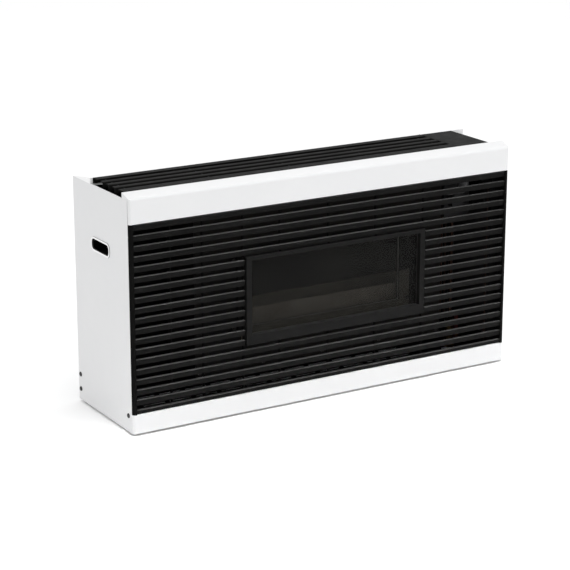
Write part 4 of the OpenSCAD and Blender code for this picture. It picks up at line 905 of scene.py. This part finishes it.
print("top grille")
deck = {"left": -367.5, "right": 275.5, "top": 400.0, "leg": 390.0, "bar": 2.0, "bend": 2.1, "rearBar": -82.0,
        "frontBar": -160.0, "slimBar": -104.0, "slimTop": 10.0, "slimStep": -22.0, "ribFrom": -353.5,
        "rib": 2.0, "ribStep": 153.25, "ribs": 5, "ribGap": 0.3, "ribFoot": 0.2,
        "endPlate": (275.4, 277), "endFoot": 380, "endGap": 0.05}
barShapes = {
    "rearBar": [(deck["rearBar"], deck["top"]), (rail["front"], deck["top"]), (rail["front"], deck["leg"])],
    "slimBar": [(deck["slimBar"], deck["leg"]), (deck["slimBar"], deck["top"]),
                (deck["slimBar"] + deck["slimTop"], deck["top"])],
    "frontBar": [(fascia["back"], deck["leg"]), (fascia["back"], deck["top"]),
                 (deck["frontBar"], deck["top"])],
}
bars = []
for title, shape in barShapes.items():
    bars.append(foldSheet(title, shape, (deck["left"], deck["right"]), deck["bend"], deck["bar"]))
    if title == "slimBar":
        bars += [copyOf(bars[-1], title, y=step * deck["slimStep"]) for step in (1, 2)]
crossRib = block("crossRib", (deck["ribFrom"], deck["ribFrom"] + deck["rib"]),
                 (fascia["back"] + deck["ribGap"], rail["front"] - deck["ribGap"]),
                 (deck["leg"] + deck["ribFoot"], deck["top"] - deck["bar"]))
bars.append(crossRib)
bars += [copyOf(crossRib, "crossRib", x=step * deck["ribStep"]) for step in range(1, deck["ribs"])]
bars.append(block("endPlate", deck["endPlate"], (fascia["back"], rail["front"]),
                  (deck["endFoot"], deck["top"] - deck["endGap"])))
topGrille = joined("topGrille", bars)
finishPiece(topGrille, "black_sheet", ["top_grille"], edge=0.2, coat="deck_sheet")

print("control flap")
flap = {"left": 277.3, "right": 343.5, "front": -180.7, "back": -72.3, "top": 400.0, "thick": 2.0,
        "rounding": 0.7, "hinge": (-69.5, 397.5), "barrel": 2.5, "bore": 1.3, "boreEnds": (280, 340),
        "knuckle": (283.8, 336.7), "lipX": (279.9, 340.9), "lipY": (-178.4, -177.1), "lipZ": (394.5, 398.5)}
plateLayer = (flap["top"] - flap["thick"], flap["top"])
flapPlate = block("controlFlap", (flap["left"], flap["right"]), (flap["front"], flap["back"]), plateLayer)
pickLines(flapPlate, lambda p: near(p.z, flap["top"]))
roundOff(flap["rounding"], 3)
knuckle = block("knuckle", flap["knuckle"], (flap["back"] - 1, flap["hinge"][0]), plateLayer)
cutWith(flapPlate, knuckle, "UNION")
barrelEnds = [(x, *flap["hinge"]) for x in flap["knuckle"]]
cutWith(flapPlate, rod("barrel", *barrelEnds, flap["barrel"], 32), "UNION")
boreEnds = [(x, *flap["hinge"]) for x in flap["boreEnds"]]
cutWith(flapPlate, rod("bore", *boreEnds, flap["bore"], 24))
cutWith(flapPlate, block("underLip", flap["lipX"], flap["lipY"], flap["lipZ"]), "UNION")
finishPiece(flapPlate, "black_sheet", ["control_flap"], body="flap", edge=0.15, coat="deck_sheet")

print("control knob")
control = {"x": 310.25, "y": -110.0, "foot": 358.0, "top": 387.7, "skirt": 22.0, "skirtTall": 5.0,
           "skirtRounding": 1.2, "grip": 19.0, "gripRounding": 1.6, "fluteRadius": 3.0, "fluteAt": 21.2,
           "fluteGap": 0.2, "fluteOver": 2.3, "flutes": 12, "pointerHalf": 1.2, "hollow": 7.0,
           "hollowTop": 370.0, "shaft": 3.0, "shaftFoot": 340.0, "shaftTop": 375.0, "flatAt": 2.0,
           "flatTop": 369.8}
x, y = control["x"], control["y"]
skirtTop = control["foot"] + control["skirtTall"]
knob = rod("controlKnob", (x, y, control["foot"]), (x, y, skirtTop), control["skirt"], 96)
pickLines(knob, lambda p: near(p.z, skirtTop))
roundOff(control["skirtRounding"], 3)
grip = rod("knobGrip", (x, y, control["foot"] + 1), (x, y, control["top"]), control["grip"], 96)
pickLines(grip, lambda p: near(p.z, control["top"]))
roundOff(control["gripRounding"], 4)
fluteY = y - control["fluteAt"]
fluteEnds = [(x, fluteY, z) for z in (skirtTop + control["fluteGap"], control["top"] + control["fluteOver"])]
flute = rod("flute", *fluteEnds, control["fluteRadius"], 24)
flutes = []
for step in range(1, control["flutes"]):  # no flute under the pointer
    flutes.append(copyOf(flute, "flute"))
    makeActive(flutes[-1])
    bpy.ops.transform.rotate(value=math.tau * step / control["flutes"], orient_axis="Z",
                             center_override=at(x, y, 0))
    settle(flutes[-1])
bpy.data.objects.remove(flute)
cutWith(grip, joined("flutes", flutes))
cutWith(knob, grip, "UNION")
pointer = block("pointer", (x - control["pointerHalf"], x + control["pointerHalf"]),
                (y - control["skirt"] + 1, y - control["shaft"]), (skirtTop - 1, control["top"]))
cutWith(knob, pointer, "UNION")
hollowEnds = [(x, y, z) for z in (control["foot"] - 1, control["hollowTop"])]
cutWith(knob, rod("underBore", *hollowEnds, control["hollow"], 48))
shaft = rod("shaft", (x, y, control["shaftFoot"]), (x, y, control["shaftTop"]), control["shaft"], 32)
cutWith(shaft, block("shaftFlat", (x + control["flatAt"], x + 8), (y - 8, y + 8),
                     (control["shaftFoot"] - 1, control["flatTop"])))
knob = joined("controlKnob", [knob, shaft])
finishPiece(knob, "black_plastic", ["control_knob"], body="knob", edge=0.2)

print("pointer line")
pointerLine = {"half": 0.5, "from": 6.0, "to": 20.0, "sunk": 0.4, "proud": 0.2}
pointerMark = block("pointerMark", (x - pointerLine["half"], x + pointerLine["half"]),
                    (y - pointerLine["to"], y - pointerLine["from"]),
                    (control["top"] - pointerLine["sunk"], control["top"] + pointerLine["proud"]))
finishPiece(pointerMark, "white_sheet", [], body="knob", edge=0.05)

print("dial marks")
marks = {"face": 352.8, "thick": 0.12, "numberAt": 26.2, "numberSize": 6.2, "tickHalf": 0.2,
         "tickFrom": 28.6, "tickTo": 29.6, "count": 7, "turn": 270}
markParts = []
for step in range(marks["count"]):
    angle = math.radians(step * marks["turn"] / (marks["count"] - 1) - 90)
    deselectAll()
    bpy.ops.object.text_add()
    number = bpy.context.object
    number.data.body = str(step)
    number.data.size = marks["numberSize"] / 1000
    number.data.extrude = marks["thick"] / 2000
    number.data.align_x, number.data.align_y = "CENTER", "CENTER"
    bpy.ops.object.convert(target="MESH")
    number.location = at(x + marks["numberAt"] * math.cos(angle), y + marks["numberAt"] * math.sin(angle),
                         marks["face"] + marks["thick"] / 2)
    settle(number)
    markParts.append(number)
for step in range(2 * marks["count"] - 1):
    tick = block("tick", (x - marks["tickHalf"], x + marks["tickHalf"]),
                 (y - marks["tickTo"], y - marks["tickFrom"]),
                 (marks["face"], marks["face"] + marks["thick"]))
    angle = -math.radians(step * marks["turn"] / (2 * marks["count"] - 2))  # turns as the numbers run
    bpy.ops.transform.rotate(value=angle, orient_axis="Z", center_override=at(x, y, 0))
    settle(tick)
    markParts.append(tick)
finishPiece(joined("dialMarks", markParts), "black_plastic", [], edge=0)

print("igniter button")
push = {"y": -157.0, "foot": 345.0, "top": 362.0, "radius": 6.5, "rounding": 2.6}
button = rod("igniterButton", (x, push["y"], push["foot"]), (x, push["y"], push["top"]), push["radius"], 64)
pickLines(button, lambda p: near(p.z, push["top"]))
roundOff(push["rounding"], 6)
finishPiece(button, "red_plastic", ["igniter_button"], body="igniter_button", edge=0)

print("casing screws")
screw = {"head": 4.0, "proud": 1.6, "rounding": 1.1, "recess": 0.9, "cross": (0.5, 2.4), "shank": 1.9,
         "end": -363.5, "lap": 0.1, "places": ((-8, 20), (-8, 46), (-188, 28))}
firstY, firstZ = screw["places"][0]
headFront = -casing["half"] - screw["proud"]
headEnds = [(x, firstY, firstZ) for x in (-casing["half"], headFront)]
firstScrew = rod("casingScrew", *headEnds, screw["head"], 48)
pickLines(firstScrew, lambda p: near(p.x, headFront))
roundOff(screw["rounding"], 4)
for wide, tall in (screw["cross"], screw["cross"][::-1]):
    cutWith(firstScrew, block("recess", (headFront - 1, headFront + screw["recess"]),
                              (firstY - wide, firstY + wide), (firstZ - tall, firstZ + tall)))
shankEnds = [(x, firstY, firstZ) for x in (screw["end"], -casing["half"] - screw["lap"])]
shank = rod("screwShank", *shankEnds, screw["shank"], 24)
firstScrew = joined("casingScrew", [firstScrew, shank])
screws = [firstScrew] + [copyOf(firstScrew, "casingScrew", y=placeY - firstY, z=placeZ - firstZ)
                         for placeY, placeZ in screw["places"][1:]]
leftScrews = joined("casingScrews", screws)
allScrews = joined("casingScrews", [leftScrews, mirrored(leftScrews, "rightScrews")])
finishPiece(allScrews, "screw_steel", ["casing_screws"], edge=0)

print("finishes of the CAD nodes")
slotOf = {part["node"]: part["material_slot"] for part in frame["record"]["subparts"]}
# grille ribs, grille rails and hand slot cups take the painted shade black; the fire box and inner glass
# frame carry the painted light brown zone; the gas cock lever is a much darker red
coatOf = {"box_screws": "heat_screw", "box_gasket": "graphite_fibre", "window_clips": "heat_screw",
          "phial_clips": "heat_screw", "grille_ribs": "shaded_black", "grille_rails": "shaded_black",
          "hand_slot_cups": "shaded_black", "side_deck": "deck_sheet", "combustion_box": "fired_box",
          "inner_glass_frame": "fired_frame", "gas_cock_lever": "dark_red_plastic"}
for name, node in frame["nodes"].items():
    if not node.hide_render:
        makeActive(node)
        bpy.ops.object.shade_smooth_by_angle(angle=math.radians(35))
        node.data.materials.clear()
        node.data.materials.append(finishes[coatOf.get(name, slotOf[name])])
deselectAll()

print("floor")
floorHeight = -fixHeight / 1000 - studio["footGap"]
bpy.ops.mesh.primitive_plane_add(size=studio["floorSize"], location=(0, 0, floorHeight))
floor = named(bpy.context.object, "studioFloor")
floor.data.materials.append(newMaterial("studioFloorPaint", grainSkin, {
    "Colour": studio["floorColour"], "Cloud Colour": (0.925, 0.925, 0.927, 1), "Cloud Size": 1.5,
    "Cloud Amount": 0.5, "Gloss Low": 0.75, "Gloss High": 0.85, "Grain Size": 400.0, "Grain Depth": 0.05},
    Specular_IOR_Level=0.1))
